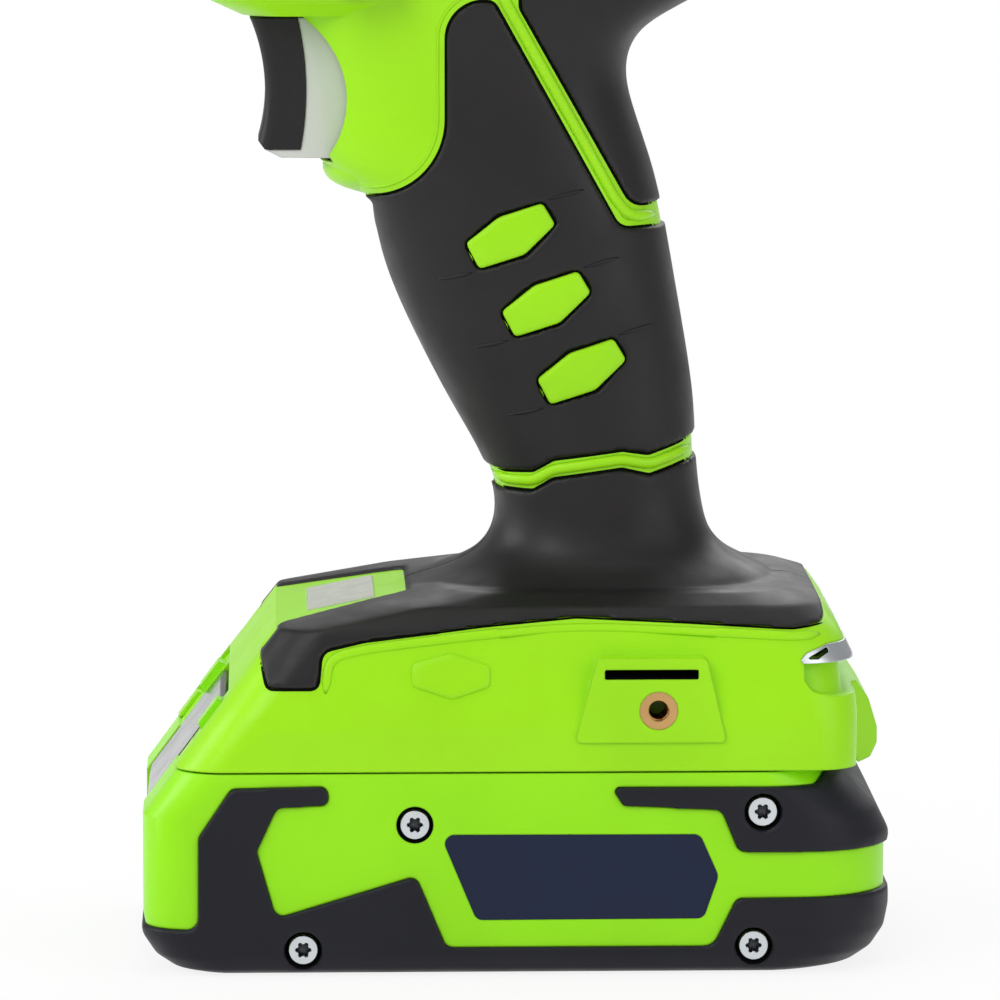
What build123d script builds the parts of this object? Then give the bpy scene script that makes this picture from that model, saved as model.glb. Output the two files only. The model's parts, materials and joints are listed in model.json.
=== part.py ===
"""Cordless drill with a slide-on battery pack, in millimetres.

The origin is the middle of the face the pack stands on. +Z is up, the drill points to -X
and -Y is the operator's left side. The housing is made as a left half and mirrored.
"""
import math
import os

from build123d import *

# Head axis and the layout along it (the chuck end is at the lowest x)
AXIS_HEIGHT = 188.0
BARREL_FRONT = -57.0
BARREL_REAR = 53.0
BARREL_RADIUS = 28.0
BARREL_BORE = 24.8
GEAR_CASE_RADIUS = 24.6
NOSE_RADIUS = 17.5
MOTOR_RADIUS = 18.5
SPINDLE_RADIUS = 6.0
RUNNING_GAP = 0.06

# Wall build-up of the housing
RUBBER_PROUD = 0.6
RUBBER_DEPTH = 1.4
WALL = 3.2

# Handle: height, front x, rear x, half width of the rubber surface, slope of the surface
HANDLE = [
    (59.0, -20.0, 49.0, 28.0, 75),
    (61.4, -12.2, 42.5, 22.2, 68),
    (64.6, -5.4, 36.2, 18.0, 35),
    (67.5, -3.1, 33.4, 16.4, 15),
    (72.0, -2.2, 31.9, 15.5, 0),
    (80.0, -4.4, 30.9, 15.7, 0),
    (88.0, -8.8, 30.5, 16.4, 0),
    (97.0, -13.6, 29.4, 17.2, 0),
    (107.0, -18.3, 27.7, 17.9, 0),
    (115.0, -21.0, 26.3, 18.2, 0),
    (121.0, -22.9, 25.2, 18.2, 0),
    (125.0, -26.6, 24.3, 18.2, 0),
    (129.0, -31.4, 23.2, 18.2, 0),
    (137.0, -33.2, 20.6, 18.0, 0),
    (145.0, -34.2, 19.4, 18.0, 0),
    (150.0, -35.4, 21.8, 18.3, 0),
    (154.0, -37.0, 27.8, 18.8, 0),
    (158.0, -39.0, 34.5, 19.6, 0),
    (168.0, -42.0, 45.5, 22.4, 0),
    (173.0, -42.5, 48.0, 23.6, 0),
]
HANDLE_SQUARENESS = 2.5
OVAL_STEPS = 12

# Foot: height, front x, rear x, half width, front corner, rear corner, slope
FOOT = [
    (33.0, -54.7, 55.4, 37.0, 8.0, 7.0, 0),
    (41.3, -48.5, 55.6, 36.8, 8.0, 8.0, 0),
    (50.5, -41.6, 54.9, 34.6, 8.0, 10.0, 0),
    (55.0, -38.2, 52.8, 33.4, 8.0, 11.0, 45),
    (58.2, -22.0, 50.6, 30.6, 10.0, 12.0, 78),
    (60.0, -12.0, 46.0, 26.0, 11.0, 12.0, 85),
]

# Belly under the gear case: height, front x, rear x, half width, corner
BELLY = [
    (153.0, -43.6, 12.0, 14.6, 8.0),
    (155.4, -48.6, 13.0, 17.0, 8.5),
    (159.0, -52.4, 14.0, 19.0, 9.0),
    (166.0, -55.2, 15.0, 21.6, 9.0),
    (175.0, -56.0, 16.0, 23.6, 9.0),
]

# Side-view outlines: x, z and corner radius
GRIP_OUTLINE = [
    (-46, 123.6, 0), (-10.4, 123.6, 13), (-10.4, 155.6, 6), (-3.0, 155.6, 1.8), (17.6, 118.5, 3),
    (46, 118.5, 0), (46, 88.7, 0), (22.4, 81.8, 1.5), (18.2, 82.5, 2), (6.9, 81.0, 2),
    (3.6, 79.0, 1.5), (-0.8, 78.7, 2), (-12, 80.2, 0), (-46, 80.2, 0),
]
SPINE_OUTLINE = [
    (66, 122.3, 0), (19.7, 122.3, 3.5), (1.5, 154.6, 2), (1.5, 169, 7), (66, 169, 0),
]
FOOT_OUTLINE = [
    (-22, 77.4, 0), (-0.8, 75.5, 2), (3.8, 75.5, 1.5), (7.0, 77.6, 2), (18.1, 79.2, 2),
    (22.6, 78.1, 1.5), (46, 85.0, 0), (70, 85.0, 0), (70, 66, 0), (49.6, 63, 0), (50.4, 56, 1.2),
    (45, 55.6, 6), (27.6, 56.6, 8), (10, 57.4, 8), (-5.3, 56.1, 8), (-24.1, 53.9, 4),
    (-31.1, 52.3, 2.2), (-31.7, 46.4, 1.2), (-39.7, 46.4, 1), (-40.9, 51.4, 1), (-36.0, 57.6, 0),
    (-36.0, 70, 0), (-22, 70, 0),
]
HEXAGON = [(-7.7, 116.4), (-2.3, 121.1), (5.3, 123.3), (7.5, 119.6), (2.4, 114.3), (-5.4, 112.0)]
HEXAGON_STEP = (5.75, -11.1)
HEXAGON_COUNT = 3
LIP_WEDGE = [
    (-20.2, 112), (-21.7, 117), (-22.3, 122.4), (-24.0, 123.7), (-29.6, 125.9), (-30.4, 127.2),
    (-50, 127.2), (-50, 112),
]
# Lamp strip on the foot: half width at its rear end and at the front edge
LAMP_STRIP_END = -17.0
LAMP_STRIP_FRONT = -38.0
LAMP_STRIP_HALF_WIDTHS = (15.0, 23.4)
LAMP_OUTLINE = [(-33.2, 56.2, 0.4), (-22.2, 58.4, 0.4), (-21.5, 54.87, 0), (-32.5, 52.67, 0)]
LAMP_HALF_WIDTH = 13.2
LAMP_BOARD_OUTLINE = [(-33.6, 52.45), (-20.2, 55.13), (-19.9, 53.56), (-33.3, 50.88)]
LAMP_BOARD_MARGIN = 0.8

# Rear of the foot: lobe in the middle, lanyard bar above it and the scoop under the bar
LOBE_SIDE = [
    (50, 44.8, 0), (56.2, 44.8, 0.8), (58.6, 41.3, 3), (60.1, 36.4, 2), (60.1, 33.8, 1.2),
    (58.9, 31.6, 1), (56.6, 31.0, 0.5), (55.8, 33.4, 0), (50, 33.4, 0),
]
LOBE_PLAN = [
    (48, 20, 0), (48, -20, 0), (54.0, -19.0, 2), (61.5, -11.0, 6), (61.5, 11.0, 6), (54.0, 19.0, 2),
]
BAR_OUTLINE = [(45.6, 50.0, 0.5), (70, 50.0, 0), (70, 52.8, 0), (50.6, 52.8, 1.5), (47.0, 51.6, 0.8)]
BAR_SLOT = [(46.8, 50.7, 0.2), (48.9, 50.6, 0.3), (50.8, 51.6, 0.3), (50.4, 52.4, 0.3)]
BAR_PROUD = 0.2
BAR_DEPTH = 1.6
SCOOP_OUTLINE = [
    (46.6, 50.0, 0), (70, 50.0, 0), (70, 44.8, 0), (52.0, 44.6, 3), (48.0, 45.4, 2.5), (46.6, 47.4, 1.5),
]
SCOOP_DEPTH = 2.2

# Trigger
TRIGGER_HALF_WIDTH = 8.2
TRIGGER_PAD_HALF_WIDTH = 8.5
TRIGGER_AXIS_HEIGHT = 141.0
TRIGGER_RECESS_TOP = 153.0
TRIGGER_RECESS_FLOOR = 129.0
SWITCH_LIMITS = (-14.5, 5.5, -12.2, 12.2, 130.4, 149.6)

# Battery bay of the foot and the rail of the pack
BAY_CEILING = 44.6
BAY_NECK = 24.2
BAY_FLANGE = 28.2
BAY_LIP_TOP = 37.2
BAY_REAR = 49.0
RAIL_GAP = 0.35
BLADE_PLACES = (-11.0, -4.0, 4.0, 11.0)

# Battery pack
PACK_SEAM = 32.7
PACK_HALF_WIDTH = 37.0
PACK_EDGE = 4.0
PACK_WALL = 2.6
PACK_FRONT = -59.9
PACK_REAR = 60.4
PACK_BASE = 0.8
PACK_END_ROUND = 8.5
PACK_SIDE_ROUND = 3.0
PACK_CORNERS = (8.0, 14.0)
BUMPER_PROUD = 0.8
BUMPER_DEPTH = 1.2
LOWER_BUMPER_OUTLINE = [
    (-45.6, 30.5, 1.6), (-30.0, 30.8, 1.4), (-29.9, 27.6, 1.3), (-38.2, 27.3, 1.4), (-41.5, 20.3, 1.2),
    (-38.4, 9.4, 1.6), (-15.9, 16.2, 1.6), (-11.0, 4.5, 1.5), (31.9, 4.5, 2.5), (35.7, 12.3, 1.6),
    (70, 12.6, 0), (70, -8, 0), (-70, -8, 0), (-70, 7.4, 0), (-51.0, 7.6, 1.8), (-50.9, 22.6, 2),
]
REAR_BUMPER_OUTLINE = [
    (15.4, 30.5, 0.8), (48.4, 30.4, 1), (51.6, 33.6, 0), (70, 33.6, 0), (70, 19.7, 0),
    (36.0, 19.8, 1.6), (33.2, 26.6, 1.4), (17.4, 27.4, 0.8),
]
LABEL_OUTLINE = [
    (-12.0, 22.8, 1.5), (29.8, 22.7, 1.5), (32.8, 15.9, 2), (30.4, 9.0, 1.5), (-6.2, 8.9, 1.5),
]
PLATE_ENDS = (-53.8, 56.4)
PACK_SCREWS = [(-16.1, 24.4), (-34.1, 4.1), (39.9, 26.3), (38.5, 4.5)]
PACK_SCREW_SEAT = -35.2
CELL_RADIUS = 9.2
CELL_LENGTH = 65.0
CELL_PITCH = 18.6
CELL_SHIFT = -1.4
CELL_HEIGHT = 13.6

# Inclined front of the foot and pack: a 3-4-5 slope through the seam corner
INCLINE_POINT = (-54.7, 33.0)
INCLINE_UP = (0.6, 0.8)
INCLINE_OUT = (-0.8, 0.6)
BUTTON_HALF_WIDTH = 16.0
BUTTON_TRAVEL = 2.4
BUTTON_GAP = 0.4
BUTTON_LOW = -8.4
BUTTON_HIGH = 12.2
BUTTON_FACE = -0.5
BUTTON_BACK = -4.9
BUTTON_LIP_LOW = 22.4
BUTTON_LIP_DEPTH = 2.0
TAB_HALF_WIDTH = 8.0
TAB_LOW = 40.2
TAB_HIGH = 41.8
TAB_END = -31.0
TOOTH_TOP = 44.2

# Gears
MODULE = 0.75
SUN_TEETH = 12
PLANET_TEETH = 18
RING_TEETH = 48
PRESSURE_ANGLE = math.radians(25)
PLANET_CENTRE = MODULE * (SUN_TEETH + PLANET_TEETH) / 2
BACKLASH = 0.12
PIN_RADIUS = 1.5
PLANET_ANGLES = [math.radians(90 + 120 * index) for index in range(3)]
SUN_TURN = math.radians(90 + 180 / SUN_TEETH)
RING_TURN = math.radians(90)

# Torque spring
SPRING_START = -69.9
SPRING_RADIUS = 19.3
SPRING_PITCH = 3.2
SPRING_TURNS = 4
SPRING_STEPS = 16
SPRING_WIRE = 0.85

# Chuck
JAW_SLOPE = math.radians(18)
JAW_RADIUS = 3.4
JAW_TIP_X = -131.0
JAW_TIP_CENTRE = 7.2
JAW_LENGTH = 25.0
CHUCK_BORE = 5.4
LOCK_HEAD_RADIUS = 4.0
LOCK_HEAD_FRONT = -102.4
LOCK_HEAD_SEAT = -100.0
CHUCK_FLOOR = LOCK_HEAD_FRONT - 0.6
NUT_FRONT = -118.4
NUT_REAR = -112.4

# Housing screws: x, z, seat of the head on the right side, where the post runs
HOUSING_SCREWS = [
    (0.0, 117.6, 15.2, "handle"), (11.4, 95.5, 14.0, "handle"), (-4.5, 160.2, 17.2, "handle"),
    (-46.5, 159.4, 15.6, None), (22.0, 210.6, 12.8, "barrel"), (40.0, 51.4, 31.8, "foot"),
    (-16.0, 50.4, 32.0, "foot"),
]
POST_RADIUS = 3.8
SCREW_RADIUS = 1.5
SCREW_HEAD_RADIUS = 2.9
BELT_INSERT = (23.1, 42.8)


def outline(points):
    """Flat closed outline; a third value on a point is its corner radius."""
    corners = [(p[0], p[1]) for p in points]
    radii = [p[2] if len(p) > 2 else 0 for p in points]
    return make_face(FilletPolyline(*corners, radius=radii, close=True))


def side_prism(points, y_high, y_low):
    """Side-view outline pushed through from y_high to y_low."""
    plane = Plane(origin=(0, y_high, 0), x_dir=(1, 0, 0), z_dir=(0, -1, 0))
    return extrude(plane * outline(points), amount=y_high - y_low, dir=(0, -1, 0))


def plan_prism(points, z_low, z_high):
    """Plan-view outline pushed up from z_low to z_high."""
    return extrude(Plane.XY.offset(z_low) * outline(points), amount=z_high - z_low, dir=(0, 0, 1))


def block(x_low, x_high, y_low, y_high, z_low, z_high):
    """Plain block given by its limits."""
    middle = Pos((x_low + x_high) / 2, (y_low + y_high) / 2, (z_low + z_high) / 2)
    return middle * Box(x_high - x_low, y_high - y_low, z_high - z_low)


def turned(points):
    """Solid turned about the head axis from points of x and radius."""
    plane = Plane(origin=(0, 0, AXIS_HEIGHT), x_dir=(1, 0, 0), z_dir=(0, -1, 0))
    face = plane * outline(points)
    return revolve(face, Axis((0, 0, AXIS_HEIGHT), (1, 0, 0)))


def rod_x(x_low, x_high, radius, y=0.0, z=AXIS_HEIGHT):
    """Round bar along x."""
    plane = Plane(origin=(x_low, y, z), x_dir=(0, 1, 0), z_dir=(1, 0, 0))
    return plane * Cylinder(radius, x_high - x_low, align=(Align.CENTER, Align.CENTER, Align.MIN))


def rod_y(x, z, radius, y_low, y_high):
    """Round bar along y."""
    plane = Plane(origin=(x, y_low, z), x_dir=(1, 0, 0), z_dir=(0, 1, 0))
    return plane * Cylinder(radius, y_high - y_low, align=(Align.CENTER, Align.CENTER, Align.MIN))


def mirrored(shape):
    """The same shape on the other side of the middle plane."""
    return mirror(shape, about=Plane.XZ)


def oval(z, front, rear, half_width):
    """Squared oval at height z."""
    centre = (front + rear) / 2
    length = (rear - front) / 2
    exponent = 2 / HANDLE_SQUARENESS
    points = []
    for step in range(OVAL_STEPS):
        angle = math.pi / 2 + 2 * math.pi * step / OVAL_STEPS
        along = math.cos(angle)
        across = math.sin(angle)
        x = centre + length * math.copysign(abs(along) ** exponent, along)
        y = half_width * math.copysign(abs(across) ** exponent, across)
        points.append(Vector(x, y, z))
    return Face(Wire([Edge.make_spline(points, periodic=True)]))


def handle_form(inset):
    """Form of the handle; inset is measured from the green surface."""
    sections = []
    for z, front, rear, half_width, slope in HANDLE:
        side = (inset + RUBBER_PROUD) * math.cos(math.radians(slope))
        drop = (inset + RUBBER_PROUD) * math.sin(math.radians(slope))
        sections.append(oval(z - drop, front + side, rear - side, half_width - side))
    return loft(sections)


def level_outline(z, front, rear, half_width, corners):
    """Rounded rectangle at height z with its own front and rear corners."""
    points = [
        (rear, half_width, corners[1]), (rear, -half_width, corners[1]),
        (front, -half_width, corners[0]), (front, half_width, corners[0]),
    ]
    return Plane.XY.offset(z) * outline(points)


def foot_form(inset):
    """Form of the foot; inset is measured from the green surface."""
    sections = []
    for z, front, rear, half_width, front_corner, rear_corner, slope in FOOT:
        side = inset * math.cos(math.radians(slope))
        drop = inset * math.sin(math.radians(slope))
        corners = (front_corner - side, rear_corner - side)
        sections.append(level_outline(z - drop, front + side, rear - side, half_width - side, corners))
    return loft(sections, ruled=True)


def barrel_form(inset):
    """Form of the motor barrel."""
    profile = [
        (BARREL_FRONT, 0), (BARREL_FRONT, 25.2 - inset), (-50, 27.2 - inset),
        (-43, BARREL_RADIUS - inset), (45, BARREL_RADIUS - inset), (BARREL_REAR, 26.6 - inset),
        (BARREL_REAR, 0),
    ]
    return turned(profile)


def lip_wedge(inset):
    """Space in front of the grip, under the finger lip."""
    return side_prism([(x + inset, z) for x, z in LIP_WEDGE], 1, -40)


def hexagons():
    """The three hexagon windows as side prisms."""
    prisms = []
    for index in range(HEXAGON_COUNT):
        shift_x = HEXAGON_STEP[0] * index
        shift_z = HEXAGON_STEP[1] * index
        prisms.append(side_prism([(x + shift_x, z + shift_z, 1.2) for x, z in HEXAGON], 0, -40))
    return prisms


def rubber_pads():
    """Grip, back pad and foot cover of the left half."""
    outer_handle = handle_form(-RUBBER_PROUD) - lip_wedge(0)
    inner_handle = handle_form(RUBBER_DEPTH) - lip_wedge(RUBBER_PROUD + RUBBER_DEPTH)
    grip = (outer_handle & side_prism(GRIP_OUTLINE, 0, -40)) - inner_handle
    grip = grip - hexagons()
    outer_spine = outer_handle + barrel_form(-RUBBER_PROUD)
    spine = (outer_spine & side_prism(SPINE_OUTLINE, 0, -40)) - (inner_handle + barrel_form(RUBBER_DEPTH))
    outer_foot = foot_form(-RUBBER_PROUD) + (outer_handle & block(-80, 80, -60, 60, 40, 100))
    inner_foot = foot_form(RUBBER_DEPTH) + (inner_handle & block(-80, 80, -60, 60, 40, 100))
    cover = (outer_foot & side_prism(FOOT_OUTLINE, 0, -40)) - inner_foot
    narrow, wide = LAMP_STRIP_HALF_WIDTHS
    strip = plan_prism(
        [(-60, 0, 0), (LAMP_STRIP_END, 0, 0), (LAMP_STRIP_END, -narrow, 2.5), (LAMP_STRIP_FRONT, -wide, 0),
         (-60, -wide, 0)],
        40, 70,
    )
    return grip, spine, cover - strip


def belly_form():
    """Rounded belly between the trigger and the gear case."""
    sections = []
    for z, front, rear, half_width, corner in BELLY:
        sections.append(level_outline(z, front, rear, half_width, (corner, corner)))
    return loft(sections, ruled=True)


def on_incline(along, out):
    """Side-view point from distances along and out of the inclined front."""
    x = INCLINE_POINT[0] + along * INCLINE_UP[0] + out * INCLINE_OUT[0]
    z = INCLINE_POINT[1] + along * INCLINE_UP[1] + out * INCLINE_OUT[1]
    return x, z


def incline_block(along_low, along_high, out_low, out_high, half_width, corner=0.0):
    """Block lying along the inclined front."""
    corners = [(along_low, out_low), (along_low, out_high), (along_high, out_high), (along_high, out_low)]
    points = [on_incline(along, out) + (corner,) for along, out in corners]
    return side_prism(points, half_width, -half_width)


def trigger_recess():
    """Space cut across the housing in front of the trigger."""
    arc = ThreePointArc((-34.4, TRIGGER_RECESS_TOP), (-26.6, 141.0), (-30.3, TRIGGER_RECESS_FLOOR))
    lines = Polyline(
        (-30.3, TRIGGER_RECESS_FLOOR), (-70, TRIGGER_RECESS_FLOOR), (-70, TRIGGER_RECESS_TOP),
        (-34.4, TRIGGER_RECESS_TOP),
    )
    plane = Plane(origin=(0, 40, 0), x_dir=(1, 0, 0), z_dir=(0, -1, 0))
    face = plane * make_face([arc, lines])
    return extrude(face, amount=80, dir=(0, -1, 0))


def vent_slots():
    """Slanted cooling slots in the barrel wall beside the motor."""
    slots = []
    for index in range(6):
        x = 8.0 + 6.0 * index
        corners = [(x - 1.3, 179, 1.2), (x + 1.3, 179, 1.2), (x + 6.3, 197, 1.2), (x + 3.7, 197, 1.2)]
        slots.append(side_prism(corners, -18, -40))
    return slots


def bay_cuts():
    """Battery bay, catch pocket and openings in the underside of the left half."""
    return [
        block(-80, BAY_REAR, -BAY_NECK, 1, 20, BAY_CEILING),
        block(-80, BAY_REAR, -BAY_FLANGE, 1, BAY_LIP_TOP, BAY_CEILING),
        block(-36.4, -29.6, -8.6, 1, 44, 46.4),
        block(10, 32, -14, 1, 44, 48),
    ]


def belt_block():
    """Raised block on the side of the foot for a belt clip."""
    points = [(9.6, 37.6, 0.8), (34.1, 37.6, 0.8), (30.8, 51.4, 1), (13.3, 51.4, 1)]
    return side_prism(points, -29, -37.3)


def lanyard_bar_left():
    """Left half of the flat bar round the rear of the foot, with its slot."""
    band = (foot_form(-BAR_PROUD) & side_prism(BAR_OUTLINE, 0, -45)) - foot_form(BAR_DEPTH)
    return band - side_prism(BAR_SLOT, -25, -45)


def incline_rib(along_low, along_high):
    """Low rib on the left of the release button."""
    points = [(along_low, -2.0), (along_low + 1.2, 0.6), (along_high - 0.6, 0.6), (along_high, -2.0)]
    return side_prism([on_incline(along, out) for along, out in points], -19.0, -23.6)


def housing_halves(grip, spine, cover):
    """Left and right halves of the housing."""
    lobe = side_prism(LOBE_SIDE, 22, -22) & plan_prism(LOBE_PLAN, 20, 60)
    body = foot_form(0) + [handle_form(0), belly_form(), barrel_form(0), belt_block(), lobe]
    body = body & block(-90, 90, -60, 0, 0, 260)
    scoop = (foot_form(-1.0) & side_prism(SCOOP_OUTLINE, 0, -45)) - foot_form(SCOOP_DEPTH)
    slot = side_prism(BAR_SLOT, -25, -45)
    cuts = [
        foot_form(WALL) & block(-80, 80, -60, 60, 47, 80),
        handle_form(WALL) & block(-80, 80, -60, 60, 50, 168),
        rod_x(BARREL_FRONT - 1, BARREL_REAR + 1, BARREL_BORE) & block(-80, 80, -60, 1, 100, 260),
        lip_wedge(RUBBER_PROUD),
        trigger_recess(),
        block(-50, -14, -8.8, 1, TRIGGER_RECESS_FLOOR, TRIGGER_RECESS_TOP),
        block(-29.3, -18.7, -40, 1, 156.7, 162.3),
        block(-33.5, -13.5, -7.0, 1, 214.2, 230),
        side_prism(LAMP_OUTLINE, 1, -LAMP_HALF_WIDTH),
        side_prism([(14.4, 47.9, 0.3), (29.5, 47.9, 0.3), (29.5, 49.5, 0.3), (14.4, 49.5, 0.3)], -32.5, -40),
        rod_y(BELT_INSERT[0], BELT_INSERT[1], 3.1, -40, -29.0),
        scoop, slot, lanyard_bar_left(),
    ] + vent_slots() + bay_cuts()
    shell = body - cuts - grip - spine - cover
    inside = {"handle": handle_form(2.4), "barrel": barrel_form(2.0), "foot": foot_form(2.4)}
    switch = block(*SWITCH_LIMITS)
    stays = [
        block(-14.4, 8, -20, 0, 128.0, SWITCH_LIMITS[4]) & inside["handle"],
        (block(-6, -4, -20, 0, 129, 148) & inside["handle"]) - switch,
        (block(2, 4, -20, 0, 129, 148) & inside["handle"]) - switch,
    ]
    for x in (2.0, 34.0):
        ring = turned([(x, MOTOR_RADIUS), (x, 25.4), (x + 2.5, 25.4), (x + 2.5, MOTOR_RADIUS)])
        stays.append(ring & block(-80, 80, -60, 0, 100, 260))
    for x, z, seat, place in HOUSING_SCREWS:
        if place:
            stays.append(rod_y(x, z, POST_RADIUS, -40, 0) & inside[place])
    shell = shell + stays
    left = shell - [rod_y(x, z, SCREW_RADIUS, -11.0, 1) for x, z, seat, place in HOUSING_SCREWS]
    holes = []
    for x, z, seat, place in HOUSING_SCREWS:
        holes.append(rod_y(x, z, SCREW_RADIUS + 0.2, -1, 45))
        holes.append(rod_y(x, z, SCREW_HEAD_RADIUS + 0.3, seat, 45))
    return left, mirrored(shell) - holes


def socket_screw(x, z, seat, end, head_radius, shank_radius, head_height, toward):
    """Screw along y with its head outward in the given direction and a star socket."""
    if toward > 0:
        head = rod_y(x, z, head_radius, seat, seat + head_height)
        shank = rod_y(x, z, shank_radius, end, seat)
        socket_low = seat + head_height - 1.2
    else:
        head = rod_y(x, z, head_radius, seat - head_height, seat)
        shank = rod_y(x, z, shank_radius, seat, end)
        socket_low = seat - head_height
    socket = rod_y(x, z, head_radius * 0.42, socket_low, socket_low + 1.2)
    for index in range(6):
        angle = math.radians(60 * index)
        lobe_x = x + head_radius * 0.42 * math.cos(angle)
        lobe_z = z + head_radius * 0.42 * math.sin(angle)
        socket = socket + rod_y(lobe_x, lobe_z, head_radius * 0.15, socket_low, socket_low + 1.2)
    return head + shank - socket


def trigger_parts():
    """Grey trigger body and the black pad round its front."""
    plane = Plane(origin=(0, 20, 0), x_dir=(1, 0, 0), z_dir=(0, -1, 0))
    front = ThreePointArc((-42.2, 152.4), (-39.9, 143.4), (-40.9, 132.4))
    rest = Polyline((-40.9, 132.4), (-39.8, 131.0), (-37.2, 129.7), (-22.0, 129.5), (-22.0, 152.4),
                    (-42.2, 152.4))
    whole = extrude(plane * make_face([front, rest]), amount=40, dir=(0, -1, 0))
    edge = ThreePointArc((-34.8, 154), (-33.1, 142.4), (-34.0, 131.0))
    pad_lines = Polyline((-34.0, 131.0), (-39.2, 131.0), (-44, 131.9), (-50, 131.9), (-50, 154),
                         (-34.8, 154))
    pad_zone = extrude(plane * make_face([edge, pad_lines]), amount=40, dir=(0, -1, 0))
    core_front = ThreePointArc((-40.4, 150.8), (-38.2, 143.4), (-39.1, 133.2))
    core_lines = Polyline((-39.1, 133.2), (-30, 132.6), (-30, 150.8), (-40.4, 150.8))
    core = extrude(plane * make_face([core_front, core_lines]), amount=40, dir=(0, -1, 0))
    core = core & block(-60, 0, -6.4, 6.4, 120, 160)
    pad = whole & pad_zone & block(-60, 0, -TRIGGER_PAD_HALF_WIDTH, TRIGGER_PAD_HALF_WIDTH, 120, 160)
    upright = [e for e in pad.edges() if abs(e.center().Y) > 8.4 and e.geom_type == GeomType.CIRCLE]
    upright = [e for e in upright if e.center().X < -38]
    pad = fillet(upright, 2.2) - core
    behind = block(-60, 0, -TRIGGER_HALF_WIDTH, TRIGGER_HALF_WIDTH, 120, 160)
    body = ((whole - pad_zone) & behind) + core
    body = body + rod_x(-22.5, -4.0, 3.0, 0, TRIGGER_AXIS_HEIGHT)
    return body, pad


def involute_half_angle(teeth, radius, slack):
    """Half of the tooth angle at a radius, thinned by slack at the pitch circle."""
    pitch = MODULE * teeth / 2
    base = pitch * math.cos(PRESSURE_ANGLE)
    turn = math.acos(min(1.0, base / radius))
    swing = math.tan(PRESSURE_ANGLE) - PRESSURE_ANGLE - math.tan(turn) + turn
    return math.pi / (2 * teeth) - slack / (2 * pitch) + swing


def gear_outline(teeth, tip, root, slack, turn):
    """Toothed outline with a tooth centred on the angle turn."""
    pitch = MODULE * teeth / 2
    radii = [root, pitch, tip]
    points = []
    for index in range(teeth):
        middle = turn + 2 * math.pi * index / teeth
        for sign, order in ((-1, radii), (1, radii[::-1])):
            for radius in order:
                angle = middle + sign * involute_half_angle(teeth, radius, slack)
                points.append((radius * math.cos(angle), radius * math.sin(angle)))
    return make_face(Polyline(*points, close=True))


def gear_prism(face, x_low, x_high, y=0.0, z=AXIS_HEIGHT):
    """Gear outline pushed along x; its first axis is y and its second z."""
    plane = Plane(origin=(x_low, y, z), x_dir=(0, 1, 0), z_dir=(1, 0, 0))
    return extrude(plane * face, amount=x_high - x_low, dir=(1, 0, 0))


def outer_gear(teeth, x_low, x_high, turn, y=0.0, z=AXIS_HEIGHT):
    """Gear with outward teeth."""
    pitch = MODULE * teeth / 2
    face = gear_outline(teeth, pitch + 0.95 * MODULE, pitch - 1.2 * MODULE, BACKLASH, turn)
    return gear_prism(face, x_low, x_high, y, z)


def planet_place(index):
    """Centre of a planet in y and z."""
    angle = PLANET_ANGLES[index]
    return PLANET_CENTRE * math.cos(angle), AXIS_HEIGHT + PLANET_CENTRE * math.sin(angle)


def planet(index, x_low, x_high):
    """Planet gear with its pin hole."""
    y, z = planet_place(index)
    wheel = outer_gear(PLANET_TEETH, x_low, x_high, PLANET_ANGLES[index], y, z)
    return wheel - rod_x(x_low - 1, x_high + 1, PIN_RADIUS + RUNNING_GAP, y, z)


def ring_gear():
    """Fixed ring shared by both stages."""
    pitch = MODULE * RING_TEETH / 2
    face = gear_outline(RING_TEETH, pitch + 1.2 * MODULE, pitch - 0.9 * MODULE, -BACKLASH, RING_TURN)
    return rod_x(-34.6, -12.0, 21.0) - gear_prism(face, -35, -11)


def carrier():
    """First-stage carrier: plate, three pins and the second-stage sun."""
    shape = rod_x(-23.6, -20.6, 15.0)
    pins = [rod_x(-20.8, -12.7, PIN_RADIUS, *planet_place(index)) for index in range(3)]
    return shape + pins + outer_gear(SUN_TEETH, -33.2, -23.4, SUN_TURN)


def spindle():
    """Output spindle with the second-stage carrier plate and pins."""
    shape = turned([
        (-97.0, 0), (-97.0, 6.0), (-96.3, 6.35), (-81.6, 6.35), (-81.6, SPINDLE_RADIUS),
        (-38.0, SPINDLE_RADIUS), (-38.0, 15.0), (-33.8, 15.0), (-33.8, 0),
    ])
    pins = [rod_x(-34.0, -24.5, PIN_RADIUS, *planet_place(index)) for index in range(3)]
    return shape + pins - rod_x(-98, -84, 2.4)


def gear_case():
    """Gear case with the nose that carries the torque ring."""
    bush = SPINDLE_RADIUS + RUNNING_GAP
    return turned([
        (-12.0, 21.0), (-12.0, GEAR_CASE_RADIUS), (-56.2, GEAR_CASE_RADIUS), (-56.2, NOSE_RADIUS),
        (-80.0, NOSE_RADIUS), (-80.0, 10.0), (-77.0, 10.0), (-77.0, 12.0), (-71.0, 12.0), (-71.0, 9.0),
        (-50.0, 9.0), (-50.0, bush), (-44.0, bush), (-44.0, 17.0), (-41.0, 20.0), (-36.5, 20.0),
        (-34.6, 20.0), (-34.6, 21.0),
    ])


def spindle_bearing():
    """Ball bearing in the nose, as one ring."""
    hole = SPINDLE_RADIUS + RUNNING_GAP
    return turned([(-77.0, hole), (-77.0, 12.0), (-71.0, 12.0), (-71.0, hole)])


def scalloped(shape, count, radius, centre_radius, x_low, x_high):
    """Finger grooves round a ring."""
    grooves = []
    for index in range(count):
        angle = 2 * math.pi * index / count
        y = centre_radius * math.cos(angle)
        z = AXIS_HEIGHT + centre_radius * math.sin(angle)
        grooves.append(rod_x(x_low, x_high, radius, y, z))
    return shape - grooves


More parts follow.
